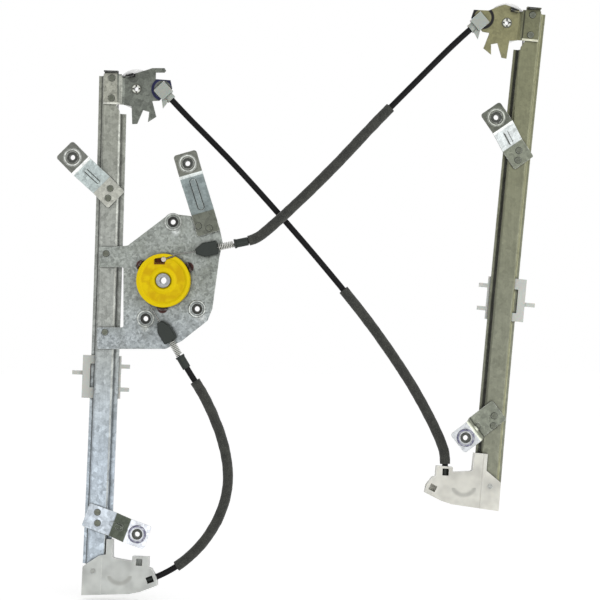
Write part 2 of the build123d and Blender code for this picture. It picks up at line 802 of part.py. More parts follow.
def pulley_centre(rail, out=0.0):
    plane = station_plane(rail, out)
    origin = plane.from_local_coords(Vector(rail.side * pulley_across, 0, 0))
    return Plane(origin=origin, x_dir=plane.x_dir, z_dir=plane.z_dir)


def make_axle(rail):
    stack = bracket_sheet + 2 * side_play + pulley_width
    with BuildPart() as piece:
        with BuildSketch(pulley_centre(rail, 0.02)):
            Circle(axle_flange)
        extrude(amount=0.9, taper=15)
        with BuildSketch(pulley_centre(rail, 0.02)):
            Circle(axle_radius)
        extrude(amount=-stack - 0.02)
        with BuildSketch(pulley_centre(rail, -stack)):
            Circle(axle_flange)
        extrude(amount=-0.9)
        drill(pulley_centre(rail), axle_bore, stack + 3)
    return piece


def make_pulley(rail):
    """Grooved pulley with a recess between its hub and its rim on both faces."""
    centre = pulley_centre(rail, -(bracket_sheet + side_play))
    axis = Axis(centre.origin, centre.z_dir)
    section = Plane(origin=centre.origin, x_dir=centre.x_dir, z_dir=-centre.y_dir)
    inner = axle_radius + running_fit
    hub = axle_flange + 2.1
    rim = pulley_pitch - 4.0
    floor = pulley_pitch - cable_radius - running_fit
    recess = 1.2
    with BuildPart() as piece:
        with BuildSketch(section):
            with BuildLine():
                Polyline(
                    (inner, 0), (hub, 0), (hub, -recess), (rim, -recess), (rim, 0), (pulley_radius, 0),
                    (pulley_radius, -0.9), (floor, -pulley_width / 2 + 0.6),
                    (floor, -pulley_width / 2 - 0.6),
                    (pulley_radius, -pulley_width + 0.9), (pulley_radius, -pulley_width),
                    (rim, -pulley_width), (rim, -pulley_width + recess), (hub, -pulley_width + recess),
                    (hub, -pulley_width), (inner, -pulley_width),
                    close=True,
                )
            make_face()
        revolve(axis=axis)
    return piece


def make_clip(rail):
    plane = exit_plane(rail)
    side = rail.side
    with BuildPart() as piece:
        for amount in (clip_front, -clip_rear):
            with BuildSketch(plane):
                with Locations((notch_start + 0.15 + clip_length / 2, 0)):
                    Rectangle(clip_length, 2 * notch_half)
            extrude(amount=amount)
        fillet(piece.edges().filter_by(Axis(plane.origin, plane.z_dir)), 1.2)
        along = Plane(origin=exit_plane(rail, -cable_level).origin, z_dir=plane.x_dir)
        with BuildSketch(along.offset(notch_start + clip_length)):
            Circle(4.7)
        extrude(amount=collar_length)
        # Latch below the collar.
        with BuildSketch(plane.offset(-bracket_sheet)):
            with BuildLine():
                Polyline(
                    (notch_start + clip_length - 3.0, -side * (notch_half - 1)),
                    (exit_run + 0.5, -side * 12.4), (exit_run - 1.0, -side * 4.4),
                    (notch_start + clip_length - 1.0, -side * 3.0),
                    close=True,
                )
            make_face()
        extrude(amount=-3.5)
        # Room for the pulley's rim, and the passages for cable and conduit.
        with BuildSketch(pulley_centre(rail, -bracket_sheet + 0.1)):
            Circle(pulley_radius + 0.6)
        extrude(amount=-clip_rear, mode=Mode.SUBTRACT)
        with BuildSketch(along):
            Circle(cable_bore)
        extrude(amount=exit_run + 5, mode=Mode.SUBTRACT)
        with BuildSketch(along.offset(exit_run - cap_socket - 0.3)):
            Circle(conduit_radius + socket_fit)
        extrude(amount=cap_socket + 5, mode=Mode.SUBTRACT)
    return piece


for rail in (left, right):
    save(make_pulley_bracket(rail), f"{rail.name}_pulley_bracket")
    save(make_axle(rail), f"{rail.name}_pulley_axle")
    save(make_pulley(rail), f"{rail.name}_pulley")
    save(make_clip(rail), f"{rail.name}_conduit_clip")


# Carriages: one moulding, used upright on the left rail and turned half round on the right.
def make_carriage(rail):
    plane = inner_plane(rail, rail.carriage)
    back = rail_depth + carriage_gap
    lip_front = 5.6
    lip_back = rail_depth - rail_sheet - carriage_gap - 0.1
    flange_edge = rail_half + 0.3
    with BuildPart() as piece:
        # Plate that slides on the back of the flanges, and the block outside the outer flange.
        with BuildSketch(plane.offset(-back)):
            with Locations(((16.0 - carriage_outer) / 2, 0)):
                Rectangle(carriage_outer + 16.0, 2 * carriage_half)
        extrude(amount=-carriage_rear)
        with BuildSketch(plane.offset(-lip_front)):
            with Locations((-(carriage_outer + flange_edge) / 2, 0)):
                Rectangle(carriage_outer - flange_edge, 2 * carriage_half)
        extrude(amount=-(back + carriage_rear - lip_front))
        # Two lips over the flange, the nose in the channel, and the tabs at both sides.
        for low, high in ((13.1, carriage_half), (-carriage_half, -10.8)):
            with BuildSketch(plane.offset(-lip_front)):
                with Locations((-(carriage_outer + 10.0) / 2, (low + high) / 2)):
                    Rectangle(carriage_outer - 10.0, high - low)
            extrude(amount=-(lip_back - lip_front))
        with BuildSketch(plane.offset(-nose_front)):
            RectangleRounded(2 * nose_half, 32.0, 1.2)
        extrude(amount=-(back - nose_front))
        with BuildSketch(plane.offset(-back)):
            for place, height in (((-27.4, 3.6), 4.2), ((19.4, 11.0), 4.2), ((19.4, -12.2), 4.2)):
                with Locations(place):
                    Rectangle(10.8, height)
        extrude(amount=-carriage_rear)
        # Slot for the cable and pockets for its nipples.
        with BuildSketch(plane.offset(-nose_front + 1)):
            with Locations((cable_across, 0)):
                Rectangle(2 * cable_bore, 40)
            with Locations((cable_across, 6.2), (cable_across, -6.2)):
                Rectangle(2 * nipple_radius + 0.3, nipple_length + 0.3)
        extrude(amount=-(cable_level - nose_front + 1 + nipple_radius + 0.2), mode=Mode.SUBTRACT)
        # Boss at the back for the glass holder's pin.
        with BuildSketch(plane.offset(-(back + carriage_rear))):
            Circle(glass_boss)
        extrude(amount=-glass_boss_height, taper=3)
        with BuildSketch(plane.offset(-(back + carriage_rear + glass_boss_height))):
            Circle(glass_bore)
        extrude(amount=glass_depth, mode=Mode.SUBTRACT)
    return piece


def make_carriage_nipples(rail):
    plane = inner_plane(rail, rail.carriage)
    with BuildPart() as piece:
        for middle in (6.2, -6.2):
            origin = plane.from_local_coords(
                Vector(cable_across, middle - nipple_length / 2, -cable_level))
            with BuildSketch(Plane(origin=origin, z_dir=plane.y_dir)):
                Circle(nipple_radius)
                Circle(cable_radius + 0.15, mode=Mode.SUBTRACT)
            extrude(amount=nipple_length)
    return piece


for rail in (left, right):
    save(make_carriage(rail), f"{rail.name}_carriage")
    save(make_carriage_nipples(rail), f"{rail.name}_carriage_nipples")

# Lower ends: one moulding and its mirror image, with the cable's turning guide and two ways out.
end_points = [
    (-12.5, -25.5), (34.5, -23.0), (45.5, -20.5), (62.0, -13.8), (61.0, -6.0), (55.5, 2.6),
    (52.5, 3.2), (52.5, 14.0), (36.2, 14.0), (36.0, 9.0), (18.0, 11.5), (16.5, 12.5),
]
end_top = [(-12.5, 2.7)]
side_leave = -68.0
tower_leave = -2.0
side_run = 25.0
tower_run = 9.5
window_length = 7.0
window_width = 6.4
pad_edge = 6.4
pad_height = 0.6
groove_half = 1.5


def end_plane(rail, out=0.0):
    return rail_plane(rail, rail.end, out=out)


def leave_frame(rail, leave):
    """Tangent point on the turning guide and direction there, in the plane's x and y."""
    angle = radians(leave)
    point = Vector(rail.side * (pulley_across + pulley_pitch * cos(angle)),
                   turn_height + pulley_pitch * sin(angle))
    return point, Vector(-sin(angle) * rail.side, cos(angle))


def leave_plane(rail, leave):
    """Plane across the cable at the turning guide's tangent point, z along the cable."""
    plane = end_plane(rail, -cable_level)
    point, direction = leave_frame(rail, leave)
    origin = plane.from_local_coords(Vector(point.X, point.Y, 0))
    return Plane(origin=origin, z_dir=plane.x_dir * direction.X + plane.y_dir * direction.Y)


def make_lower_end(rail):
    side = rail.side
    top = [(14.5 + 1.5, 30.0), (rail.tongue, 30.0), (rail.tongue, 15.0), (3.0, 13.5)]
    points = sided(rail, end_points + top + end_top)
    with BuildPart() as piece:
        with BuildSketch(end_plane(rail, end_front)) as outline:
            with BuildLine():
                Polyline(points, close=True)
            make_face()
        extrude(amount=-(end_front + end_depth))
        # The front stands a little prouder where it covers the rail.
        with BuildSketch(end_plane(rail, end_front)):
            with BuildLine():
                Polyline(points, close=True)
            make_face()
            with Locations((side * (pad_edge - 20), 0)):
                Rectangle(40, 80, mode=Mode.INTERSECT)
        extrude(amount=pad_height)
        # Hollow behind the front wall, apart from the rail's socket and the turning guide.
        with BuildSketch(end_plane(rail, end_front - end_wall)) as hollow:
            with BuildLine():
                Polyline(points, close=True)
            make_face()
            offset(amount=-2.0, kind=Kind.INTERSECTION)
            with Locations((side * 1.75, 2.25)):
                Rectangle(29.5, 56.0, mode=Mode.SUBTRACT)
            with Locations((side * pulley_across, turn_height)):
                Circle(pulley_pitch - cable_radius - 0.15, mode=Mode.SUBTRACT)
            # Blocks that hold the ferrules.
            for leave, run in ((side_leave, side_run), (tower_leave, tower_run)):
                point, direction = leave_frame(rail, leave)
                middle = point + direction * run
                turn = degrees(atan2(direction.Y, direction.X))
                with Locations(Location((middle.X, middle.Y), turn)):
                    Rectangle(ferrule_length + 1, 2 * ferrule_radius + 4, mode=Mode.SUBTRACT)
        extrude(amount=-(end_front + end_depth), mode=Mode.SUBTRACT)
        rail_sweep(rail, rail.bottom - 0.5, rail.end + 40, gap=end_gap, mode=Mode.SUBTRACT)
        # The cable comes down the channel, and goes round the turning guide in a groove.
        with BuildSketch(end_plane(rail, -cable_level + groove_half)):
            with Locations((side * cable_across, turn_height + 20)):
                Rectangle(2 * groove_half, 40)
        extrude(amount=-(end_depth + 2), mode=Mode.SUBTRACT)
        with BuildSketch(end_plane(rail, -cable_level + groove_half)):
            with Locations((side * pulley_across, turn_height)):
                Circle(pulley_pitch + groove_half)
                Circle(pulley_pitch - groove_half, mode=Mode.SUBTRACT)
            with Locations((side * pulley_across, turn_height - 20)):
                Rectangle(80, 40, mode=Mode.INTERSECT)
        extrude(amount=-(end_depth + 2), mode=Mode.SUBTRACT)
        for leave, run in ((side_leave, side_run), (tower_leave, tower_run)):
            along = leave_plane(rail, leave)
            with BuildSketch(along):
                Circle(cable_bore)
            extrude(amount=run + 20, mode=Mode.SUBTRACT)
            with BuildSketch(along.offset(run - ferrule_length / 2)):
                Circle(ferrule_radius + socket_fit)
            extrude(amount=20, mode=Mode.SUBTRACT)
        # Windows in front of the ferrules' seats.
        for leave, run in ((side_leave, side_run), (tower_leave, tower_run)):
            point, direction = leave_frame(rail, leave)
            middle = point + direction * run
            turn = degrees(atan2(direction.Y, direction.X))
            with BuildSketch(end_plane(rail, end_front + 1)):
                with Locations(Location((middle.X, middle.Y), turn)):
                    Rectangle(window_length, window_width)
            extrude(amount=-(end_front + 1 + cable_level), mode=Mode.SUBTRACT)
        drill(rail_plane(rail, rail.end + pin_site[1], pin_site[0]), pin_radius + rivet_fit, 5)
    return piece


with BuildPart() as lower_end_pins:
    for rail in (left, right):
        plane = rail_plane(rail, rail.end + pin_site[1], pin_site[0])
        pin_front = end_front + pad_height + 0.5
        with BuildSketch(plane.offset(pin_front)):
            Circle(pin_radius)
        extrude(amount=-(pin_front + rail_sheet + 1.0))
save(lower_end_pins, "lower_end_pins")

for rail in (left, right):
    save(make_lower_end(rail), f"{rail.name}_lower_end")

ferrule_runs = {"left": (side_leave, side_run), "right": (tower_leave, tower_run)}


def ferrule_plane(rail):
    leave, run = ferrule_runs[rail.name]
    return leave_plane(rail, leave).offset(run - ferrule_length / 2 + 0.2)


with BuildPart() as conduit_ferrules:
    for rail in (left, right):
        along = ferrule_plane(rail)
        with BuildSketch(along):
            Circle(ferrule_radius)
        extrude(amount=ferrule_length)
        with BuildSketch(along.offset(-1)):
            Circle(cable_bore)
        extrude(amount=ferrule_length, mode=Mode.SUBTRACT)
        with BuildSketch(along.offset(ferrule_length - 5.0)):
            Circle(conduit_radius + socket_fit)
        extrude(amount=6.0, mode=Mode.SUBTRACT)
save(conduit_ferrules, "conduit_ferrules")


# Bare cable on the rails: over the pulley, down the channel and round the turning guide.
def arc_point(plane, rail, radius, angle, height):
    across = rail.side * (pulley_across + radius * cos(radians(angle)))
    return plane.from_local_coords(Vector(across, height + radius * sin(radians(angle)), 0))


def polygon_area(radius, sides):
    return sides / 2 * radius**2 * sin(2 * pi / sides)


def report_cord(name, piece, length, section):
    """Print a cord's length and how its volume compares with section times length."""
    share = piece.part.volume / (section * length)
    print(f"{name}: length {length:.1f}, volume over section times length {share:.4f}")


def make_rail_cable(rail):
    start = exit_plane(rail, -cable_level)
    upper = station_plane(rail, -cable_level)
    lower = end_plane(rail, -cable_level)
    leave = ferrule_runs[rail.name][0]
    finish = ferrule_plane(rail).offset(ferrule_length - 5.3)
    top_angle = 90 - exit_slope
    channel_low = rail.end + turn_height
    middle = rail_plane(rail, (rail.bracket + channel_low) / 2, cable_across, -cable_level).origin
    with BuildPart() as piece:
        with BuildLine() as path:
            Line(start.from_local_coords(Vector(exit_run - cap_socket, 0, 0)), start.origin)
            ThreePointArc(
                start.origin,
                arc_point(upper, rail, pulley_pitch, (top_angle + 180) / 2, 0),
                arc_point(upper, rail, pulley_pitch, 180, 0),
            )
            ThreePointArc(
                arc_point(upper, rail, pulley_pitch, 180, 0),
                middle,
                arc_point(lower, rail, pulley_pitch, 180, turn_height),
            )
            ThreePointArc(
                arc_point(lower, rail, pulley_pitch, 180, turn_height),
                arc_point(lower, rail, pulley_pitch, (180 + 360 + leave) / 2, turn_height),
                arc_point(lower, rail, pulley_pitch, leave, turn_height),
            )
            Line(arc_point(lower, rail, pulley_pitch, leave, turn_height), finish.origin)
        with BuildSketch(Plane(origin=path.line @ 0, z_dir=path.line % 0)):
            RegularPolygon(cable_radius, cable_sides)
        sweep(path=path.line)
    report_cord(f"{rail.name}_rail_cable", piece, path.wire().length,
                polygon_area(cable_radius, cable_sides))
    return piece


for rail in (left, right):
    save(make_rail_cable(rail), f"{rail.name}_rail_cable")


# Bare cable between the drum and the guides: tangent to the drum's pitch circle.
def make_drum_strand(name, plane, turn):
    mouth = plane.origin
    reach = hypot(mouth.X, mouth.Z)
    towards = atan2(mouth.Z, mouth.X) + turn * acos(drum_pitch / reach)
    tangent = Vector(drum_pitch * cos(towards), -drum_plane, drum_pitch * sin(towards))
    entry = plane.from_local_coords(Vector(0.8, 0, 0))
    finish = plane.from_local_coords(Vector(conduit_start - 0.3, 0, 0))
    with BuildPart() as piece:
        with BuildLine() as path:
            FilletPolyline(tangent, entry, finish, radius=15)
        with BuildSketch(Plane(origin=path.line @ 0, z_dir=path.line % 0)):
            RegularPolygon(cable_radius, cable_sides)
        sweep(path=path.line)
    report_cord(name, piece, path.wire().length,
                polygon_area(cable_radius, cable_sides))
    save(piece, name)


make_drum_strand("drum_cable_upper", upper_guide, 1)
make_drum_strand("drum_cable_lower", lower_guide, -1)


# Conduits and their foam sleeves. Routes are (x, y, z) between the seats at their two ends.
def corner_radii(points):
    """Each arc is as large as its two runs allow."""
    radii = []
    for before, corner, after in zip(points, points[1:], points[2:]):
        first, second = corner - before, after - corner
        turn = radians(first.get_angle(second))
        radii.append(0.45 * min(first.length, second.length) / tan(turn / 2))
    return radii


def make_conduit(name, points):
    radii = corner_radii(points)
    print(name, "radii", [round(radius) for radius in radii])
    with BuildPart() as piece:
        with BuildLine() as path:
            FilletPolyline(*points, radius=radii)
        with BuildSketch(Plane(origin=points[0], z_dir=points[1] - points[0])):
            RegularPolygon(conduit_radius, cord_sides)
        sweep(path=path.line)
    report_cord(name, piece, path.wire().length, polygon_area(conduit_radius, cord_sides))
    save(piece, name)
    return radii


def make_sleeve(name, points, radii, first, start, last, finish):
    """Sleeve from a share of one run to a share of a later one, on the conduit's own path."""
    begin = points[first] + (points[first + 1] - points[first]) * start
    end = points[last] + (points[last + 1] - points[last]) * finish
    route = [begin] + points[first + 1:last + 1] + [end]
    with BuildPart() as piece:
        with BuildLine() as path:
            FilletPolyline(*route, radius=radii[first:last])
        with BuildSketch(Plane(origin=route[0], z_dir=route[1] - route[0])):
            RegularPolygon(sleeve_radius, cord_sides)
            RegularPolygon(conduit_radius + sleeve_gap, cord_sides, mode=Mode.SUBTRACT)
        sweep(path=path.line)
    section = polygon_area(sleeve_radius, cord_sides)
    section -= polygon_area(conduit_radius + sleeve_gap, cord_sides)
    report_cord(name, piece, path.wire().length, section)
    save(piece, name)


def clip_seat(rail, beyond):
    """Point on the clip's axis, beyond the seat of the conduit's end."""
    plane = exit_plane(rail, -cable_level)
    return plane.from_local_coords(Vector(exit_run - cap_socket + beyond, 0, 0))


def ferrule_seat(rail, beyond):
    """Point on the ferrule's axis, beyond the seat of the conduit's end."""
    return ferrule_plane(rail).offset(ferrule_length - 5.0 + beyond).origin


def cap_seat(plane, beyond):
    """Point on the spring cap's axis, beyond the seat of the conduit's end."""
    return plane.from_local_coords(Vector(conduit_start + beyond, 0, 0))


upper_route = [
    cap_seat(upper_guide, 0), cap_seat(upper_guide, 12.5),
    Vector(101.5, -8.8, 48.5), Vector(114.5, -10.5, 60.0), Vector(140.7, -12.0, 84.1),
    Vector(176.5, -11.5, 119.9), Vector(209.3, -10.5, 155.6), Vector(252.0, -9.2, 198.6),
    clip_seat(right, 22.0), clip_seat(right, 0),
]
cross_route = [
    clip_seat(left, 0), clip_seat(left, 26.0),
    Vector(46.0, -1.0, 141.0), Vector(77.2, 0.0, 108.7), Vector(130.7, 0.4, 48.7),
    Vector(171.2, 0.6, 0.7), Vector(200.2, 0.6, -35.3), Vector(226.2, 0.6, -71.3),
    Vector(249.6, 0.6, -107.3), Vector(266.2, 0.6, -138.0), Vector(276.8, 0.5, -161.0),
    ferrule_seat(right, 15.6), ferrule_seat(right, 0),
]
lower_route = [
    cap_seat(lower_guide, 0), cap_seat(lower_guide, 12.5), Vector(36.5, -8.0, -108.0), Vector(47.0, -8.0, -128.0),
    Vector(58.3, -8.0, -156.5), Vector(64.2, -8.0, -184.0), Vector(63.8, -8.0, -209.0),
    Vector(56.5, -8.0, -233.5), Vector(43.5, -8.0, -256.0), Vector(25.0, -8.0, -276.0),
    ferrule_seat(left, 16.5), ferrule_seat(left, 0),
]
upper_radii = make_conduit("conduit_upper", upper_route)
cross_radii = make_conduit("conduit_cross", cross_route)
lower_radii = make_conduit("conduit_lower", lower_route)
make_sleeve("sleeve_upper", upper_route, upper_radii, 0, 0.52, 6, 0.4)
make_sleeve("sleeve_cross", cross_route, cross_radii, 5, 0.3, 11, 0.462)
make_sleeve("sleeve_lower", lower_route, lower_radii, 1, 0.45, 9, 0.5)
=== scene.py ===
"""Cable window regulator: finishes, conduits, foam sleeves and stage."""

import math

import bpy
from bpy.props import FloatProperty, FloatVectorProperty, IntProperty
from bpy.types import Operator, Panel, PropertyGroup
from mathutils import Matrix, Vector


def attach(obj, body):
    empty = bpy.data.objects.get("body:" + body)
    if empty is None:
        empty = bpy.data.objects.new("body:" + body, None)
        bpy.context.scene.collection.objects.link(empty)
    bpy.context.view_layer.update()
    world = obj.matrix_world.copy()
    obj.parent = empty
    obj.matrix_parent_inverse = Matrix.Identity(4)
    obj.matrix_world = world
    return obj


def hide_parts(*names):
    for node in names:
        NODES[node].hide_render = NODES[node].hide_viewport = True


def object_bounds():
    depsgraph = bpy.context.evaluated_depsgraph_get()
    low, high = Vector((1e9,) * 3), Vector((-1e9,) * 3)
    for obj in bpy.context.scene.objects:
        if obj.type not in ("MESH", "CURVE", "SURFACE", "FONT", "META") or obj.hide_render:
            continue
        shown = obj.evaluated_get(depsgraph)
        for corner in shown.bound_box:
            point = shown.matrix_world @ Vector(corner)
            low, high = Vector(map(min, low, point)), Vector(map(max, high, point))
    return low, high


bl_info = {
    "name": "Window regulator dressing",
    "version": (1, 0, 0),
    "blender": (4, 5, 0),
    "location": "View3D > Sidebar > Regulator",
    "description": "Dresses the window regulator with its finishes, conduits and stage",
    "category": "Object",
}

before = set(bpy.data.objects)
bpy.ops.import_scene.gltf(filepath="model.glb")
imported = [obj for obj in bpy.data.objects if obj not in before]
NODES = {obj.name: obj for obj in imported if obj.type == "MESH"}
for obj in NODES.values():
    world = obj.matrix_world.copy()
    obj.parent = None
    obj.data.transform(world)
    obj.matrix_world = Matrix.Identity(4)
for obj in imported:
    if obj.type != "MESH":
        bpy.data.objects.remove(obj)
CAD_BOX = [[float(c) for c in corner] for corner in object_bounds()]

MM = 0.001
WHITE = (1.0, 1.0, 1.0, 1.0)

# Middle of the view, x and z, in metres.
VIEW_MIDDLE = (0.1357, -0.0193)
SENSOR_WIDTH = 36.0
# The floor: how far it lies under the lowest solid, its side and the place of its middle.
FLOOR_GAP = 4.0 * MM
FLOOR_SIDE = 9.0
FLOOR_MIDDLE = 0.13
# Strength of the white background for the rays that light the pieces and for those that show it,
# and of the floor's own glow.
SKY_LIGHT = 0.6
SKY_SEEN = 1.0
FLOOR_GLOW = 0.45
# Lamps: strength in watts, width and height, place, and the spot that they point at.
LAMPS = {
    "key": (9.5, (1.0, 1.0), (1.5, -1.3, 0.15), (0.13, 0.0, 0.0)),
    "low": (3.5, (1.0, 0.4), (0.1, -1.3, -0.25), (0.0, 0.0, -0.2)),
}

# Conduit routes in millimetres, as the solids have them.
ROUTES = {
    "conduit_upper": [
        (78.3, -8.0, 38.1), (90.5, -8.0, 40.6), (101.5, -8.8, 48.5), (114.5, -10.5, 60.0),
        (140.7, -12.0, 84.1), (176.5, -11.5, 119.9), (209.3, -10.5, 155.6),
        (252.0, -9.2, 198.6), (292.8, -5.7, 239.7), (309.6, -7.4, 253.8),
    ],
    "conduit_cross": [
        (3.5, -1.5, 185.1), (21.1, 0.1, 166.0), (46.0, -1.0, 141.0), (77.2, 0.0, 108.7),
        (130.7, 0.4, 48.7), (171.2, 0.6, 0.7), (200.2, 0.6, -35.3), (226.2, 0.6, -71.3),
        (249.6, 0.6, -107.3), (266.2, 0.6, -138.0), (276.8, 0.5, -161.0), (281.5, 1.6, -175.9),
        (280.6, 0.4, -191.4),
    ],
    "conduit_lower": [
        (20.1, -8.0, -81.8), (26.4, -8.0, -92.6), (36.5, -8.0, -108.0), (47.0, -8.0, -128.0),
        (58.3, -8.0, -156.5), (64.2, -8.0, -184.0), (63.8, -8.0, -209.0), (56.5, -8.0, -233.5),
        (43.5, -8.0, -256.0), (25.0, -8.0, -276.0), (2.2, -8.0, -291.3), (-13.3, -8.7, -297.0),
    ],
}
# Each sleeve's conduit.
SLEEVES = {
    "sleeve_upper": "conduit_upper",
    "sleeve_cross": "conduit_cross",
    "sleeve_lower": "conduit_lower",
}
# Each spring's conduit; it pushes on the cap that holds the conduit's start.
SPRINGS = {
    "upper_tension_spring": "conduit_upper",
    "lower_tension_spring": "conduit_lower",
}
# The springs' seats, in millimetres before the conduit's start, and the gap left at each.
SPRING_ENDS = (25.0, 8.0)
SPRING_GAP = 0.2 * MM
# Foam: how far its even radius stays inside the sleeve's, and the size and height of its lumps.
FOAM_SINK = 0.3 * MM
LUMP_SIZE = 7.0 * MM
LUMP_HEIGHT = 0.7 * MM
# Spots on the drum plate, x and z in millimetres: painted highlights below the motor nuts, painted
# shadows at the keepers, and the motor nuts.
PAINTED_HIGHLIGHTS = [(11.7, 48.7), (-19.3, -46.8), (37.7, -37.3)]
KEEPERS = [(-23.0, 15.5), (-1.9, -27.5), (24.3, 13.3)]
MOTOR_NUTS = [(8.7, 58.7), (-18.7, -38.0), (32.8, -28.2)]
# Radius and softness of a painted highlight below a motor nut, and radius of the painted shadow at
# a keeper, in millimetres.
PAINTED_HIGHLIGHT_SIZE = (3.2, 2.4)
KEEPER_SHADOW_RADIUS = 5.2
# Inner and outer radius, in millimetres, of the rings round a motor nut (a painted highlight), a
# strip's nut (painted light), a conduit clip (a painted shadow) and a pulley's axle.
MOTOR_HIGHLIGHT_RING = (7.3, 8.7)
NUT_LIGHT_RING = (7.0, 8.9)
CLIP_SHADOW_RING = (8.5, 11.4)
AXLE_RING = (3.9, 6.0)
# Middles of the pulleys' axles and half the width of their slits, in millimetres.
AXLES = {"left": (-27.2, 190.85), "right": (340.78, 255.56)}
SLIT = (0.6, 0.95)
# The pocket in the drum's face, whose bottom gets a painted shade: across, up and depth, in
# millimetres.
POCKET = ((-9.0, 1.6), (16.0, 23.6), (-13.7, -13.3))
# Painted shade on the lips of the pulley brackets: lowest and highest x, then z, in millimetres.
LEFT_LIP_SHADE = [((-61.0, -44.6), (206.4, 214.0)), ((-40.8, -28.0), (202.3, 214.0))]
RIGHT_LIP_SHADE = [((361.0, 376.5), (268.0, 276.0)), ((344.5, 355.5), (266.2, 279.0))]
# Painted shadows in the gaps round the conduit clips: middle in millimetres and colour.
LEFT_CLIP_SHADOW = ((-1.0, 190.5), (22, 24, 62))
RIGHT_CLIP_SHADOW = ((316.9, 260.7), (20, 20, 22))


def tone(red, green, blue):
    """Linear colour of a shade given in the usual 0 to 255 steps."""
    steps = [c / 255 for c in (red, green, blue)]
    return [c / 12.92 if c <= 0.04045 else ((c + 0.055) / 1.055) ** 2.4 for c in steps] + [1.0]


# Middle of the cable's turning guide in each lower end, in millimetres.
TURNS = [(-42.8, -287.4), (298.6, -201.1)]
# Rails: place across at the origin's height in millimetres, and lean in degrees.
LEFT_RUN = (-57.81, 1.87)
RIGHT_RUN = (340.22, 5.28)
# Painted highlight and shade lines along the rails, and along the brackets' folds (a highlight on
# the left, a shadow on the right): the places across between which they lie, in millimetres, their
# strength and colour.
LEFT_RAIL_LIGHT_LINES = [(7.5, 9.0, 0.5, tone(212, 214, 206)), (-11.2, -9.6, 0.75, tone(52, 54, 50))]
RIGHT_RAIL_LIGHT_LINES = [(8.6, 11.6, 0.6, tone(188, 188, 150)), (-11.8, -9.4, 0.85, tone(36, 37, 32))]
LEFT_FOLD_HIGHLIGHT = [(7.0, 10.4, 0.6, tone(176, 178, 168))]
RIGHT_FOLD_SHADOW = [(-8.6, -7.2, 0.85, tone(30, 31, 24))]
# Lower ends of the brackets' feet, along their rails in millimetres.
LEFT_FOOT = 174.6
RIGHT_FOOT = 270.8
# Strips: the foot's free end in millimetres, the way to the pad in degrees, the lengths of foot,
# slope and upper bend, their painted lit and shaded tones and the pad's (a painted highlight on
# the upper strips' bends), and the middle and painted light tone of the ring round the nut.
STRIPS = {
    "left_upper_mount": (
        (-47.8, 80.7), 134.5, (20.8, 23.2, 2.9),
        [tone(170, 171, 162), tone(186, 197, 196), tone(236, 238, 236), tone(108, 110, 104)],
        (-88.6, 121.2), tone(210, 213, 208)),
    "left_lower_mount": (
        (-77.4, -232.4), -19.9, (28.9, 14.9, 1.3),
        [tone(180, 188, 196), tone(92, 99, 86), tone(92, 99, 86), tone(216, 219, 226)],
        (-24.9, -250.1), tone(66, 62, 104)),
    "right_upper_mount": (
        (359.4, 117.5), 124.3, (21.1, 17.8, 2.5),
        [tone(120, 124, 110), tone(222, 228, 228), tone(240, 242, 240), tone(92, 95, 86)],
        (329.1, 160.6), tone(190, 194, 184)),
    "right_lower_mount": (
        (334.7, -129.0), 217.1, (29.3, 4.0, 1.0),
        [tone(118, 122, 110), tone(222, 226, 208), tone(222, 226, 208), tone(184, 187, 190)],
        (299.0, -155.1), tone(84, 82, 116)),
    "plate_mount": (
        (44.6, 46.9), 106.0, (22.3, 35.2, 2.8),
        [tone(98, 101, 91), tone(136, 147, 147), tone(212, 218, 216), tone(110, 112, 104)],
        (25.0, 115.3), tone(206, 210, 204)),
}
# Share of painted shade on the strips' steep faces.
STEEP_SHADE = {"left_lower_mount": 0.4, "right_lower_mount": 0.5}


def colour_prop(name, description, shade):
    return FloatVectorProperty(
        name=name, description=description, subtype="COLOR", size=4, min=0.0, max=1.0,
        default=shade,
    )


class RegulatorFinish(PropertyGroup):
    """Colours of the regulator's finishes."""

    # The left rail's zinc tones hold painted light: paler and bluer low down, darker and warmer at
    # the top.
    zinc_lit_low: colour_prop("Zinc, lower", "Bluish zinc low on the left rail", tone(168, 178, 187))
    zinc_mid: colour_prop("Zinc, middle", "Zinc halfway up the left rail", tone(148, 151, 146))
    zinc_shaded_top: colour_prop("Zinc, upper", "Warmer zinc at the left rail's top", tone(141, 143, 133))
    olive_low: colour_prop("Olive, lower", "Passivated zinc, right rail", tone(115, 117, 102))
    olive_top: colour_prop("Olive, upper", "The same at the right rail's top", tone(115, 116, 91))
    plate: colour_prop("Drum plate", "Grey zinc of the drum plate", tone(143, 148, 143))
    plate_low: colour_prop("Drum plate, lower", "Paler zinc low on the plate", tone(147, 153, 155))
    yellow: colour_prop("Drum", "Yellow nylon of the cable drum", tone(233, 204, 4))
    ochre: colour_prop("Drum, worn", "Ochre shade in the drum's dished face", tone(214, 176, 3))
    black: colour_prop("Black plastic", "Guides and caps", tone(40, 46, 42))
    foam: colour_prop("Foam", "Foam sleeves round the conduits", tone(58, 59, 54))
    milky: colour_prop("Milky plastic", "Plastic end of the left rail", tone(198, 201, 197))
    ivory: colour_prop("Ivory plastic", "Plastic end of the right rail", tone(218, 217, 208))
    nylon: colour_prop("White nylon", "Carriages, pulleys and conduit clips", tone(196, 198, 192))


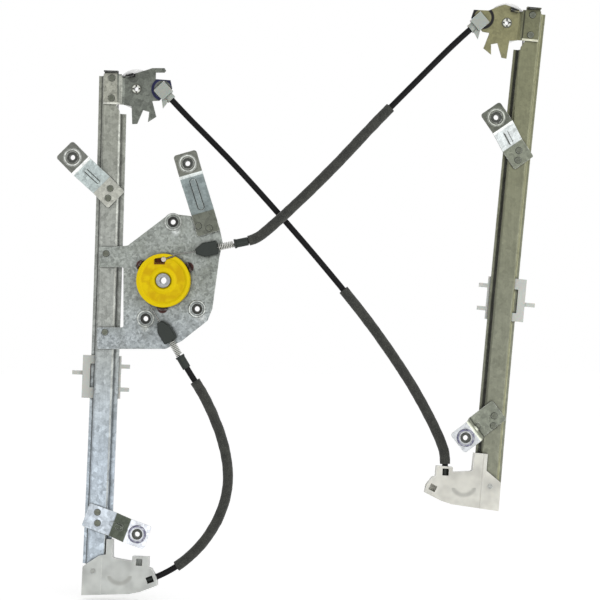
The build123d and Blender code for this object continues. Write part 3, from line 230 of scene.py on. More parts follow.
class RegulatorSizes(PropertyGroup):
    """Sizes of the pieces that are added to the solids."""

    conduit_diameter: FloatProperty(
        name="Conduit", description="Diameter of a cable conduit", default=6.0 * MM,
        min=3.0 * MM, max=10.0 * MM, unit="LENGTH",
    )
    sleeve_diameter: FloatProperty(
        name="Foam sleeve", description="Outer diameter of a foam sleeve", default=11.0 * MM,
        min=8.0 * MM, max=16.0 * MM, unit="LENGTH",
    )
    sleeve_sides: IntProperty(
        name="Sleeve sides", description="Faces round a foam sleeve", default=20, min=8, max=48,
    )
    spring_diameter: FloatProperty(
        name="Tension spring", description="Outer diameter of a tension spring",
        default=7.2 * MM, min=4.0 * MM, max=10.0 * MM, unit="LENGTH",
    )
    spring_wire: FloatProperty(
        name="Spring wire", description="Thickness of a tension spring's wire",
        default=1.05 * MM, min=0.5 * MM, max=1.5 * MM, unit="LENGTH",
    )
    spring_turns: IntProperty(
        name="Spring turns", description="Turns of a tension spring", default=9, min=4, max=14,
    )
    view_distance: FloatProperty(
        name="Camera distance", description="From the camera to the drum plate", default=1.5,
        min=0.8, max=4.0, unit="LENGTH",
    )
    view_width: FloatProperty(
        name="View width", description="Width seen at the drum plate", default=0.6,
        min=0.3, max=2.0, unit="LENGTH",
    )


def finish():
    return bpy.context.scene.regulator_finish


def sizes():
    return bpy.context.scene.regulator_sizes


# Node groups shared by several finishes


def new_group(name, inputs, outputs):
    """Shader node group with named sockets: kind, name and default of each input."""
    group = bpy.data.node_groups.new(name, "ShaderNodeTree")
    for kind, label, default in inputs:
        socket = group.interface.new_socket(label, in_out="INPUT", socket_type=kind)
        socket.default_value = default
    for kind, label in outputs:
        group.interface.new_socket(label, in_out="OUTPUT", socket_type=kind)
    return group, group.nodes.new("NodeGroupInput"), group.nodes.new("NodeGroupOutput")


def add_node(tree, kind, settings=None, **values):
    """Add a node, set its options and its unlinked inputs by name."""
    node = tree.nodes.new(kind)
    for option, value in (settings or {}).items():
        setattr(node, option, value)
    for label, value in values.items():
        node.inputs[label.replace("_", " ")].default_value = value
    return node


def join(tree, source, target):
    tree.links.new(source, target)


def feed(tree, value, target):
    """Link a socket to an input, or set the input to a plain value."""
    if isinstance(value, bpy.types.NodeSocket):
        join(tree, value, target)
    else:
        target.default_value = value


def mix_colours(tree, factor, first, second, blend="MIX"):
    """Colour mix node; each of factor, first and second is a socket or a value."""
    mix = tree.nodes.new("ShaderNodeMix")
    mix.data_type = "RGBA"
    mix.blend_type = blend
    mix.clamp_result = False
    for place, value in ((0, factor), (6, first), (7, second)):
        feed(tree, value, mix.inputs[place])
    return mix.outputs[2]


def math_node(tree, operation, first, second=0.0, clamp=False):
    node = add_node(tree, "ShaderNodeMath", {"operation": operation, "use_clamp": clamp})
    for place, value in enumerate((first, second)):
        feed(tree, value, node.inputs[place])
    return node.outputs[0]


def ranged(tree, value, low, high, new_low=0.0, new_high=1.0):
    node = add_node(tree, "ShaderNodeMapRange", {"interpolation_type": "SMOOTHSTEP"})
    join(tree, value, node.inputs[0])
    for place, number in enumerate((low, high, new_low, new_high), 1):
        node.inputs[place].default_value = number
    return node.outputs[0]


def object_axis(tree, axis):
    """Object coordinate along X, Y or Z, in metres."""
    place = add_node(tree, "ShaderNodeTexCoord")
    apart = add_node(tree, "ShaderNodeSeparateXYZ")
    join(tree, place.outputs["Object"], apart.inputs[0])
    return apart.outputs[axis]


def object_along(tree, way):
    """Object coordinate along a direction, in metres."""
    place = add_node(tree, "ShaderNodeTexCoord")
    reach = add_node(tree, "ShaderNodeVectorMath", {"operation": "DOT_PRODUCT"})
    join(tree, place.outputs["Object"], reach.inputs[0])
    reach.inputs[1].default_value = way
    return reach.outputs["Value"]


def object_texture(tree, kind, settings=None, **values):
    """Texture node on the object's coordinates."""
    place = add_node(tree, "ShaderNodeTexCoord")
    texture = add_node(tree, kind, settings, **values)
    join(tree, place.outputs["Object"], texture.inputs["Vector"])
    return texture


def build_spangle():
    """Zinc's crystal pattern with rolled grain and cloudy stains."""
    group, inlet, outlet = new_group(
        "Zinc spangle",
        [("NodeSocketColor", "Colour", WHITE), ("NodeSocketFloat", "Crystal size", 260.0),
         ("NodeSocketFloat", "Contrast", 0.25), ("NodeSocketFloat", "Stain", 0.2),
         ("NodeSocketFloat", "Streak", 0.0)],
        [("NodeSocketColor", "Colour"), ("NodeSocketFloat", "Roughness"),
         ("NodeSocketFloat", "Height")],
    )
    place = add_node(group, "ShaderNodeTexCoord")
    bend = object_texture(group, "ShaderNodeTexNoise", Scale=180.0, Detail=3.0)
    crystals = add_node(group, "ShaderNodeTexVoronoi", Randomness=1.0)
    grain = object_texture(group, "ShaderNodeTexNoise", Scale=520.0, Detail=4.0, Roughness=0.75)
    cloud = object_texture(group, "ShaderNodeTexNoise", Scale=38.0, Detail=5.0, Roughness=0.65)
    warped = add_node(group, "ShaderNodeVectorMath", {"operation": "MULTIPLY_ADD"})
    join(group, bend.outputs["Color"], warped.inputs[0])
    warped.inputs[1].default_value = (0.003, 0.003, 0.003)
    join(group, place.outputs["Object"], warped.inputs[2])
    join(group, warped.outputs[0], crystals.inputs["Vector"])
    join(group, inlet.outputs["Crystal size"], crystals.inputs["Scale"])
    pale = add_node(group, "ShaderNodeSeparateColor")
    join(group, crystals.outputs["Color"], pale.inputs[0])
    mottled = math_node(group, "MULTIPLY", pale.outputs[0], 0.6)
    both = math_node(group, "ADD", mottled, math_node(group, "MULTIPLY", grain.outputs[0], 1.5))
    centred = math_node(group, "SUBTRACT", both, 1.05)
    swing = math_node(group, "MULTIPLY", centred, inlet.outputs["Contrast"])
    drawn = add_node(group, "ShaderNodeMapping")
    join(group, place.outputs["Object"], drawn.inputs["Vector"])
    drawn.inputs["Scale"].default_value = (1.0, 1.0, 0.03)
    streaks = add_node(group, "ShaderNodeTexNoise", Scale=480.0, Detail=3.0)
    join(group, drawn.outputs[0], streaks.inputs["Vector"])
    lines = math_node(group, "MULTIPLY", math_node(group, "SUBTRACT", streaks.outputs[0], 0.5),
                      inlet.outputs["Streak"])
    gain = math_node(group, "ADD", math_node(group, "ADD", swing, lines), 1.0)
    shade = add_node(group, "ShaderNodeVectorMath", {"operation": "SCALE"})
    join(group, inlet.outputs["Colour"], shade.inputs[0])
    join(group, gain, shade.inputs["Scale"])
    dark = mix_colours(group, 1.0, shade.outputs[0], (0.72, 0.72, 0.68, 1.0), "MULTIPLY")
    mask = math_node(group, "MULTIPLY", ranged(group, cloud.outputs[0], 0.42, 0.7),
                     inlet.outputs["Stain"])
    join(group, mix_colours(group, mask, shade.outputs[0], dark), outlet.inputs["Colour"])
    rough = math_node(group, "ADD", math_node(group, "MULTIPLY", pale.outputs[1], 0.16), 0.34)
    join(group, math_node(group, "ADD", rough, math_node(group, "MULTIPLY", mask, 0.2)),
         outlet.inputs["Roughness"])
    join(group, both, outlet.inputs["Height"])
    return group


def build_edge_light_and_wear():
    """Mask that is 1 on sharp edges, broken up by noise; it marks worn edges and painted edge
    highlights and shade.
    """
    group, inlet, outlet = new_group(
        "Edge wear",
        [("NodeSocketFloat", "Amount", 1.0), ("NodeSocketFloat", "Break up", 300.0)],
        [("NodeSocketFloat", "Mask")],
    )
    noise = object_texture(group, "ShaderNodeTexNoise", Detail=3.0)
    join(group, inlet.outputs["Break up"], noise.inputs["Scale"])
    rounded = add_node(group, "ShaderNodeBevel", {"samples": 6}, Radius=0.8 * MM)
    surface = add_node(group, "ShaderNodeNewGeometry")
    facing = add_node(group, "ShaderNodeVectorMath", {"operation": "DOT_PRODUCT"})
    join(group, rounded.outputs[0], facing.inputs[0])
    join(group, surface.outputs["Normal"], facing.inputs[1])
    edge = ranged(group, facing.outputs["Value"], 0.99, 0.9)
    broken = math_node(group, "MULTIPLY", edge, ranged(group, noise.outputs[0], 0.3, 0.6))
    join(group, math_node(group, "MULTIPLY", broken, inlet.outputs["Amount"]),
         outlet.inputs["Mask"])
    return group


def build_painted_shade():
    """Mask of painted shade in the corners and gaps, and one of painted shade on the steep sides.
    """
    group, inlet, outlet = new_group(
        "Painted shade",
        [("NodeSocketFloat", "Reach", 3.0 * MM), ("NodeSocketFloat", "Amount", 1.0),
         ("NodeSocketFloat", "Steep", 0.5)],
        [("NodeSocketFloat", "Mask")],
    )
    hidden = add_node(group, "ShaderNodeAmbientOcclusion", {"samples": 8})
    join(group, inlet.outputs["Reach"], hidden.inputs["Distance"])
    corner = math_node(group, "MULTIPLY", ranged(group, hidden.outputs["AO"], 0.92, 0.45),
                       inlet.outputs["Amount"])
    place = add_node(group, "ShaderNodeTexCoord")
    apart = add_node(group, "ShaderNodeSeparateXYZ")
    join(group, place.outputs["Normal"], apart.inputs[0])
    level = math_node(group, "ABSOLUTE", apart.outputs["Y"])
    side = math_node(group, "MULTIPLY", ranged(group, level, 0.72, 0.35), inlet.outputs["Steep"])
    join(group, math_node(group, "MAXIMUM", corner, side, clamp=True), outlet.inputs["Mask"])
    return group


def build_moulded():
    """Fine moulded surface: slight colour drift, sheen marks and a soft grain."""
    group, inlet, outlet = new_group(
        "Moulded plastic",
        [("NodeSocketColor", "Colour", WHITE), ("NodeSocketFloat", "Drift", 0.1),
         ("NodeSocketFloat", "Roughness", 0.45), ("NodeSocketFloat", "Grain size", 1500.0)],
        [("NodeSocketColor", "Colour"), ("NodeSocketFloat", "Roughness"),
         ("NodeSocketFloat", "Height")],
    )
    drift = object_texture(group, "ShaderNodeTexNoise", Scale=60.0, Detail=4.0)
    grain = object_texture(group, "ShaderNodeTexNoise", Detail=2.0)
    join(group, inlet.outputs["Grain size"], grain.inputs["Scale"])
    centred = math_node(group, "SUBTRACT", drift.outputs[0], 0.5)
    swing = math_node(group, "MULTIPLY", centred, inlet.outputs["Drift"])
    gain = math_node(group, "ADD", swing, 1.0)
    shade = add_node(group, "ShaderNodeVectorMath", {"operation": "SCALE"})
    join(group, inlet.outputs["Colour"], shade.inputs[0])
    join(group, gain, shade.inputs["Scale"])
    join(group, shade.outputs[0], outlet.inputs["Colour"])
    rough = math_node(group, "ADD", inlet.outputs["Roughness"],
                      math_node(group, "MULTIPLY", centred, 0.2))
    join(group, rough, outlet.inputs["Roughness"])
    join(group, grain.outputs[0], outlet.inputs["Height"])
    return group


def group_node(tree, name, **values):
    node = tree.nodes.new("ShaderNodeGroup")
    node.node_tree = bpy.data.node_groups[name]
    for label, value in values.items():
        node.inputs[label.replace("_", " ")].default_value = value
    return node


# Finishes


def new_finish(name, metallic=0.0, **values):
    """Material with a Principled shader whose plain numbers are set on its own sockets."""
    made = bpy.data.materials.new(name)
    made.use_nodes = True
    shader = made.node_tree.nodes["Principled BSDF"]
    shader.inputs["Metallic"].default_value = metallic
    for label, value in values.items():
        shader.inputs[label.replace("_", " ")].default_value = value
    return made, made.node_tree, shader


def height_blend(tree, low, high, z_low, z_high):
    """Colour that goes from low to high with height, in metres."""
    return mix_colours(tree, ranged(tree, object_axis(tree, "Z"), z_low, z_high), low, high)


def side_blend(tree, first, second, x_low, x_high):
    """Colour that goes from first to second towards +X, in metres."""
    return mix_colours(tree, ranged(tree, object_axis(tree, "X"), x_low, x_high), first, second)


def flat_distance(tree, spot):
    """Distance in metres from a spot in millimetres, both seen from the front."""
    place = add_node(tree, "ShaderNodeTexCoord")
    flat = add_node(tree, "ShaderNodeVectorMath", {"operation": "MULTIPLY"})
    join(tree, place.outputs["Object"], flat.inputs[0])
    flat.inputs[1].default_value = (1.0, 0.0, 1.0)
    gap = add_node(tree, "ShaderNodeVectorMath", {"operation": "DISTANCE"})
    join(tree, flat.outputs[0], gap.inputs[0])
    gap.inputs[1].default_value = (spot[0] * MM, 0.0, spot[1] * MM)
    return gap.outputs["Value"]


def near(tree, spot, radius, soft=0.6):
    """Mask that is 1 within a radius of a spot, seen from the front, in millimetres."""
    return ranged(tree, flat_distance(tree, spot), (radius + soft) * MM, (radius - soft) * MM)


def ring(tree, spot, radii, soft=0.3):
    """Mask of a ring round a spot, seen from the front, in millimetres."""
    inner, outer = (near(tree, spot, radius, soft) for radius in radii)
    return math_node(tree, "SUBTRACT", outer, inner)


def between(tree, value, low, high, soft):
    """Mask that is 1 from low to high, in millimetres, where the value is in metres."""
    rising = ranged(tree, value, (low - soft) * MM, (low + soft) * MM)
    falling = ranged(tree, value, (high + soft) * MM, (high - soft) * MM)
    return math_node(tree, "MULTIPLY", rising, falling)


def stripe(tree, run, low, high):
    """Mask of a line along a rail, between two places across it in millimetres."""
    middle, lean = run[0], math.radians(run[1])
    across = object_along(tree, (math.cos(lean), 0.0, -math.sin(lean)))
    return between(tree, across, middle + low, middle + high, 0.4)


def paint_light_lines(tree, shade, run, lines):
    """Paint lines of highlight and shade along a rail over a colour."""
    for low, high, strength, line_tone in lines:
        mask = math_node(tree, "MULTIPLY", stripe(tree, run, low, high), strength)
        shade = mix_colours(tree, mask, shade, line_tone)
    return shade


def patch(tree, across, up):
    """Mask of a rectangle, seen from the front, in millimetres."""
    sides = [between(tree, object_axis(tree, axis), low, high, 0.3)
             for axis, (low, high) in zip("XZ", (across, up))]
    return math_node(tree, "MULTIPLY", *sides)


def bump_into(tree, shader, height, strength, distance, normal=None):
    bump = add_node(tree, "ShaderNodeBump", Strength=strength, Distance=distance)
    join(tree, height, bump.inputs["Height"])
    if normal:
        join(tree, normal, bump.inputs["Normal"])
    join(tree, bump.outputs[0], shader.inputs["Normal"])


def zinc_finish(name, colour, contrast=0.45, stain=0.3, crystal=260.0, edge_wear_and_light=0.5, corner_shade=0.8,
                steep=0.6, metallic=0.6, reach=3.5, streak=0.0):
    """Zinc plated sheet with worn, painted-highlight edges and painted shade in corners and on
    steep faces; colour is a shade or a function that gives the base colour's socket.
    """
    made, tree, shader = new_finish(name, metallic=metallic)
    spangle = group_node(tree, "Zinc spangle", Contrast=contrast, Stain=stain,
                         Crystal_size=crystal, Streak=streak)
    feed(tree, colour(tree) if callable(colour) else colour, spangle.inputs["Colour"])
    # Worn edges and painted edge highlights: the sharp edges turn pale.
    edge = group_node(tree, "Edge wear", Amount=edge_wear_and_light)
    worn = mix_colours(tree, edge.outputs["Mask"], spangle.outputs["Colour"],
                       tone(214, 216, 212))
    # Painted shade in the corners and gaps and on the steep faces.
    shade_node = group_node(tree, "Painted shade", Amount=corner_shade, Steep=steep, Reach=reach * MM)
    dark = mix_colours(tree, 1.0, worn, (0.16, 0.16, 0.15, 1.0), "MULTIPLY")
    join(tree, mix_colours(tree, shade_node.outputs["Mask"], worn, dark), shader.inputs["Base Color"])
    join(tree, spangle.outputs["Roughness"], shader.inputs["Roughness"])
    soft = add_node(tree, "ShaderNodeBevel", {"samples": 4}, Radius=0.5 * MM)
    bump_into(tree, shader, spangle.outputs["Height"], 0.2, 0.1 * MM, soft.outputs[0])
    return made


def plastic_finish(name, colour, roughness=0.45, drift=0.1, grain=1500.0, bump=0.1, edge=None,
                   corner_shade=0.0, **values):
    """Moulded plastic; edge is the colour painted on its edges, a highlight where paler than the
    plastic and a shade where darker, and corners can get painted shade.
    """
    made, tree, shader = new_finish(name, **values)
    moulded = group_node(tree, "Moulded plastic", Drift=drift, Roughness=roughness,
                         Grain_size=grain)
    feed(tree, colour(tree) if callable(colour) else colour, moulded.inputs["Colour"])
    shade = moulded.outputs["Colour"]
    # Painted light on the edges.
    if edge:
        rim = group_node(tree, "Edge wear", Amount=0.8)
        shade = mix_colours(tree, rim.outputs["Mask"], shade, edge)
    # Painted shade in the corners and gaps.
    if corner_shade:
        shade_node = group_node(tree, "Painted shade", Amount=corner_shade, Steep=0.0)
        dark = mix_colours(tree, 1.0, shade, (0.3, 0.3, 0.3, 1.0), "MULTIPLY")
        shade = mix_colours(tree, shade_node.outputs["Mask"], shade, dark)
    join(tree, shade, shader.inputs["Base Color"])
    join(tree, moulded.outputs["Roughness"], shader.inputs["Roughness"])
    bump_into(tree, shader, moulded.outputs["Height"], bump, 0.1 * MM)
    return made


def wear_finish(names, made):
    """Give a finish to solids by their node names."""
    for name in names:
        slots = NODES[name].data.materials
        slots.clear()
        slots.append(made)


def strip_bands(start, along, lengths, shades, nut, rolled):
    """Colour function of a strip: painted lit and shaded tones of foot, slope and pad, counted
    from the foot's free end, and painted light on the rolled ring round its nut."""
    turn = math.radians(along)
    way = (math.cos(turn), 0.0, math.sin(turn))
    first = start[0] * way[0] + start[1] * way[2]

    def colour(tree):
        reach = object_along(tree, way)
        # Painted lit and shaded tones, one for each face of the strip.
        shade, end = shades[0], first
        for length, following in zip(lengths, shades[1:]):
            end += length
            step = ranged(tree, reach, (end - 0.5) * MM, (end + 0.5) * MM)
            shade = mix_colours(tree, step, shade, following)
        # Painted light on the ring round the nut, broken up by noise.
        ring_breakup = object_texture(tree, "ShaderNodeTexNoise", Scale=320.0, Detail=2.0)
        ring_mask = math_node(tree, "MULTIPLY", ring(tree, nut, NUT_LIGHT_RING, 0.5),
                         ranged(tree, ring_breakup.outputs[0], 0.3, 0.55, 0.45, 1.0))
        return mix_colours(tree, ring_mask, shade, rolled)

    return colour


def deselect():
    if bpy.context.object and bpy.context.object.mode != "OBJECT":
        bpy.ops.object.mode_set(mode="OBJECT")
    bpy.ops.object.select_all(action="DESELECT")


class REGULATOR_OT_node_groups(Operator):
    """Build the shader node groups that the finishes share"""

    bl_idname = "regulator.node_groups"
    bl_label = "Shared surface patterns"

    def execute(self, context):
        build_spangle()
        build_edge_light_and_wear()
        build_painted_shade()
        build_moulded()
        return {"FINISHED"}


class REGULATOR_OT_sheet_metal(Operator):
    """Finish the rails, the drum plate, the pulley brackets and the mounting strips"""

    bl_idname = "regulator.sheet_metal"
    bl_label = "Sheet metal"

    def execute(self, context):
        shades = finish()

        def left_rail(tree):
            # Painted light: the rail paler and bluer low down, with painted highlight and shade
            # lines along it.
            upper = height_blend(tree, shades.zinc_mid, shades.zinc_shaded_top, 0.0, 0.2)
            shade = height_blend(tree, shades.zinc_lit_low, upper, -0.2, -0.02)
            return paint_light_lines(tree, shade, LEFT_RUN, LEFT_RAIL_LIGHT_LINES)

        def right_rail(tree):
            shade = height_blend(tree, shades.olive_low, shades.olive_top, -0.1, 0.24)
            # Painted highlight and shade lines along the rail.
            return paint_light_lines(tree, shade, RIGHT_RUN, RIGHT_RAIL_LIGHT_LINES)

        def plate(tree):
            shade = height_blend(tree, shades.plate_low, shades.plate, -0.06, 0.0)
            # Painted highlights below the motor nuts.
            for spot in PAINTED_HIGHLIGHTS:
                mask = near(tree, spot, *PAINTED_HIGHLIGHT_SIZE)
                shade = mix_colours(tree, mask, shade, tone(188, 192, 190))
            # Painted highlight rings round the motor nuts.
            for spot in MOTOR_NUTS:
                mask = ring(tree, spot, MOTOR_HIGHLIGHT_RING)
                shade = mix_colours(tree, mask, shade, tone(184, 188, 184))
            # Painted shadow at the keepers, reddened by the drum.
            for spot in KEEPERS:
                shade = mix_colours(tree, near(tree, spot, KEEPER_SHADOW_RADIUS), shade, tone(66, 34, 30))
            return shade

        def lips(tree, shade, places, clip_shadow):
            """Painted shade on the lips on a bracket's top, and a painted shadow in the gap round
            its conduit clip.
            """
            for across, up in places:
                shade = mix_colours(tree, patch(tree, across, up), shade, tone(26, 27, 26))
            spot, dark = clip_shadow
            return mix_colours(tree, ring(tree, spot, CLIP_SHADOW_RING, 0.5), shade, tone(*dark))

        def bright_edge(tree, shade, run, foot_end, bright):
            """Light that catches the lower edge of a bracket's foot."""
            rim = stripe(tree, (-foot_end, run[1] + 90.0), -1.1, 0.9)
            mask = math_node(tree, "MULTIPLY", rim, stripe(tree, run, -8.0, 8.6))
            return mix_colours(tree, math_node(tree, "MULTIPLY", mask, 0.8), shade, bright)

        def left_bracket(tree):
            shade = side_blend(tree, tone(152, 153, 142), tone(100, 104, 97), -0.0465, -0.0455)
            # Painted highlight on the fold between foot and fan.
            shade = paint_light_lines(tree, shade, LEFT_RUN, LEFT_FOLD_HIGHLIGHT)
            shade = bright_edge(tree, shade, LEFT_RUN, LEFT_FOOT, tone(222, 223, 214))
            return lips(tree, shade, LEFT_LIP_SHADE, LEFT_CLIP_SHADOW)

        def right_bracket(tree):
            shade = side_blend(tree, tone(124, 122, 90), tone(103, 104, 80), 0.3535, 0.3545)
            # Painted shadow in the fold between foot and fan.
            shade = paint_light_lines(tree, shade, RIGHT_RUN, RIGHT_FOLD_SHADOW)
            shade = bright_edge(tree, shade, RIGHT_RUN, RIGHT_FOOT, tone(222, 222, 200))
            return lips(tree, shade, RIGHT_LIP_SHADE, RIGHT_CLIP_SHADOW)

        for node, label, colour, values in (
            ("left_rail", "left rail", left_rail, {"contrast": 0.6, "streak": 0.5}),
            ("right_rail", "right rail", right_rail, {"contrast": 0.3, "streak": 0.3}),
            ("drum_plate", "plate", plate, {"contrast": 0.9, "stain": 0.8, "crystal": 420.0}),
            ("left_pulley_bracket", "left bracket", left_bracket,
             {"contrast": 0.9, "steep": 0.95, "reach": 6.0}),
            ("right_pulley_bracket", "right bracket", right_bracket,
             {"steep": 0.95, "reach": 6.0}),
        ):
            wear_finish([node], zinc_finish(f"{label} zinc", colour, **values))
        for name, strip in STRIPS.items():
            wear_finish([name], zinc_finish(f"{name} zinc", strip_bands(*strip), contrast=0.6,
                                            edge_wear_and_light=0.9, steep=STEEP_SHADE.get(name, 0.95)))
        return {"FINISHED"}


class REGULATOR_OT_fasteners(Operator):
    """Finish the rivets, nuts, axles, pins and the spindle"""

    bl_idname = "regulator.fasteners"
    bl_label = "Fasteners"

    def execute(self, context):
        wear_finish(["left_rail_rivets", "right_rail_rivets", "plate_rivets"],
                    zinc_finish("rivet zinc", tone(94, 97, 86), crystal=700.0, steep=0.9))
        wear_finish(["mount_nuts"], zinc_finish("nut zinc", tone(66, 68, 64), crystal=700.0))
        wear_finish(["motor_nuts"], zinc_finish("motor nut zinc", tone(42, 43, 40), crystal=700.0))
        wear_finish(["drum_spindle"],
                    zinc_finish("turned steel", tone(150, 152, 154), crystal=900.0, corner_shade=1.0))
        wear_finish(["lower_end_pins"],
                    zinc_finish("pin steel", tone(150, 152, 148), crystal=900.0, steep=0.2))
        for side, spot in AXLES.items():

            def petals(tree, spot=spot):
                """Four swaged petals with dark slits between them."""
                shade = tone(204, 206, 198)
                for axis, middle in zip("XZ", spot):
                    gap = math_node(tree, "SUBTRACT", object_axis(tree, axis), middle * MM)
                    slit = ranged(tree, math_node(tree, "ABSOLUTE", gap), SLIT[1] * MM,
                                  SLIT[0] * MM)
                    shade = mix_colours(tree, slit, shade, tone(46, 46, 40))
                return mix_colours(tree, ring(tree, spot, AXLE_RING), shade, tone(104, 105, 96))

            wear_finish([f"{side}_pulley_axle"],
                        zinc_finish(f"{side} axle steel", petals, crystal=900.0, edge_wear_and_light=0.2,
                                    contrast=0.2))
        return {"FINISHED"}


class REGULATOR_OT_cable_metal(Operator):
    """Finish the bare cable and its ends"""

    bl_idname = "regulator.cable_metal"
    bl_label = "Cable and springs"

    def execute(self, context):
        made, tree, shader = new_finish("cable steel", metallic=0.9)
        strands = object_texture(tree, "ShaderNodeTexWave", {"bands_direction": "DIAGONAL"},
                                 Scale=700.0, Distortion=0.4)
        shade = mix_colours(tree, strands.outputs["Fac"], tone(84, 84, 80), tone(168, 168, 164))
        join(tree, shade, shader.inputs["Base Color"])
        join(tree, ranged(tree, strands.outputs["Fac"], 0.0, 1.0, 0.5, 0.3),
             shader.inputs["Roughness"])
        bump_into(tree, shader, strands.outputs["Fac"], 0.5, 0.1 * MM)
        wear_finish(["left_rail_cable", "right_rail_cable", "drum_cable_upper",
                     "drum_cable_lower", "drum_cable_turns"], made)

        wear_finish(["drum_cable_ends", "left_carriage_nipples", "right_carriage_nipples"],
                    zinc_finish("cast nipple", tone(186, 176, 164), crystal=900.0, steep=0.2))
        return {"FINISHED"}


class REGULATOR_OT_plastics(Operator):
    """Finish the drum, pulleys, carriages, clips, guides, caps and lower ends"""

    bl_idname = "regulator.plastics"
    bl_label = "Plastic pieces"

    def execute(self, context):
        shades = finish()

        def drum_face(tree):
            """Worn ochre patches in the dished ring, and painted shade at the bottom of the
            pocket.
            """
            distance = flat_distance(tree, (0.0, 0.0))
            dished = math_node(tree, "MULTIPLY", ranged(tree, distance, 0.012, 0.0145),
                               ranged(tree, distance, 0.023, 0.0205))
            noise = object_texture(tree, "ShaderNodeTexNoise", Scale=90.0, Detail=4.0)
            patchy = math_node(tree, "MULTIPLY", dished, ranged(tree, noise.outputs[0], 0.35, 0.6))
            shade = mix_colours(tree, patchy, shades.yellow, shades.ochre)
            # Painted shade at the bottom of the pocket.
            across, up, depth = POCKET
            sunk = ranged(tree, object_axis(tree, "Y"), depth[0] * MM, depth[1] * MM)
            pocket = math_node(tree, "MULTIPLY", patch(tree, across, up), sunk)
            return mix_colours(tree, pocket, shade, tone(96, 44, 22))

        def milky(shade, spot):
            """Cloudy plastic with the cable's turning guide painted in: a shadow under it and a
            lighter middle.
            """

            def colour(tree):
                x, z = spot
                cloud = object_texture(tree, "ShaderNodeTexNoise", Scale=55.0, Detail=2.0)
                dull = [c * 0.8 for c in shade[:3]] + [1.0]
                light = [min(c * 1.12, 1.0) for c in shade[:3]] + [1.0]
                made = mix_colours(tree, ranged(tree, cloud.outputs[0], 0.3, 0.7), dull, light)
                # Painted shadow under the turning guide.
                low = patch(tree, (x - 12.0, x + 12.0), (z - 16.0, z - 5.0))
                shadow = math_node(tree, "MULTIPLY", low, ring(tree, spot, (10.0, 14.0), 1.5))
                made = mix_colours(tree, math_node(tree, "MULTIPLY", shadow, 0.55), made,
                                   tone(150, 150, 143))
                # Painted lighter middle over the turning guide.
                core = math_node(tree, "MULTIPLY", near(tree, spot, 8.0, 4.0), 0.5)
                return mix_colours(tree, core, made, light)

            return colour

        # Painted shade in the drum's corners, round its hub, and on its edges.
        wear_finish(["cable_drum"], plastic_finish("drum nylon", drum_face, roughness=0.5,
                                                   edge=tone(168, 150, 20), corner_shade=0.7,
                                                   Specular_IOR_Level=0.1))
        wear_finish(["left_pulley", "right_pulley"],
                    plastic_finish("pulley nylon", tone(252, 252, 251), roughness=0.5))
        wear_finish(["left_carriage", "right_carriage"],
                    plastic_finish("carriage nylon", shades.nylon, roughness=0.5,
                                   edge=tone(214, 216, 210), corner_shade=0.8,
                                   Subsurface_Weight=0.15, Subsurface_Scale=0.002))
        wear_finish(["left_conduit_clip", "right_conduit_clip"],
                    plastic_finish("clip nylon", tone(166, 172, 164), roughness=0.4,
                                   edge=tone(196, 202, 196), corner_shade=0.8,
                                   Subsurface_Weight=0.15, Subsurface_Scale=0.002))
        for node, shade, spot in (("left_lower_end", shades.milky, TURNS[0]),
                                  ("right_lower_end", shades.ivory, TURNS[1])):
            wear_finish([node],
                        plastic_finish(f"{node} plastic", milky(shade, spot), roughness=0.38,
                                       edge=tone(230, 231, 227), Subsurface_Weight=0.4,
                                       Subsurface_Scale=0.004,
                                       Subsurface_Radius=(1.0, 0.95, 0.9)))
        wear_finish(["upper_cable_guide", "lower_cable_guide", "upper_spring_cap",
                     "lower_spring_cap", "conduit_ferrules"],
                    plastic_finish("black plastic", shades.black, roughness=0.5, bump=0.2,
                                   edge=tone(22, 25, 23), corner_shade=0.7,
                                   Specular_IOR_Level=0.3))
        return {"FINISHED"}


# Conduits and sleeves


def foam_finish():
    """Dull closed foam: small cells and soft dents."""
    made, tree, shader = new_finish("foam", Roughness=0.9, Sheen_Weight=0.2, Sheen_Roughness=0.5)
    cells = object_texture(tree, "ShaderNodeTexVoronoi", Scale=900.0)
    dents = object_texture(tree, "ShaderNodeTexNoise", Scale=140.0, Detail=5.0, Roughness=0.7)
    shade = mix_colours(tree, ranged(tree, dents.outputs[0], 0.35, 0.65), tone(38, 39, 36),
                        finish().foam)
    pale = mix_colours(tree, ranged(tree, cells.outputs["Distance"], 0.5, 0.1, 0.0, 0.4),
                       shade, tone(104, 106, 98))
    join(tree, pale, shader.inputs["Base Color"])
    height = math_node(tree, "ADD", math_node(tree, "MULTIPLY", dents.outputs[0], 3.0),
                       cells.outputs["Distance"])
    bump_into(tree, shader, height, 0.6, 0.3 * MM)
    return made


def conduit_curve(name, thickness):
    """Smooth curve through a conduit's route."""
    curve = bpy.data.curves.new(name, "CURVE")
    curve.dimensions = "3D"
    curve.resolution_u = 16
    curve.bevel_depth = thickness / 2
    curve.bevel_resolution = 6
    curve.use_fill_caps = True
    points = ROUTES[name]
    spline = curve.splines.new("NURBS")
    spline.points.add(len(points) - 1)
    for target, point in zip(spline.points, points):
        target.co = [c * MM for c in point] + [1.0]
    spline.order_u = 3
    spline.use_endpoint_u = True
    return curve


def centreline(name):
    """Points of the conduit's smooth line, in metres."""
    bare = bpy.data.objects.new("line", conduit_curve(name, 0.0))
    bpy.context.collection.objects.link(bare)
    mesh = bpy.data.meshes.new_from_object(bare)
    line = [v.co.copy() for v in mesh.vertices]
    bpy.data.objects.remove(bare)
    bpy.data.meshes.remove(mesh)
    return line


def line_length(line):
    return sum((b - a).length for a, b in zip(line, line[1:]))


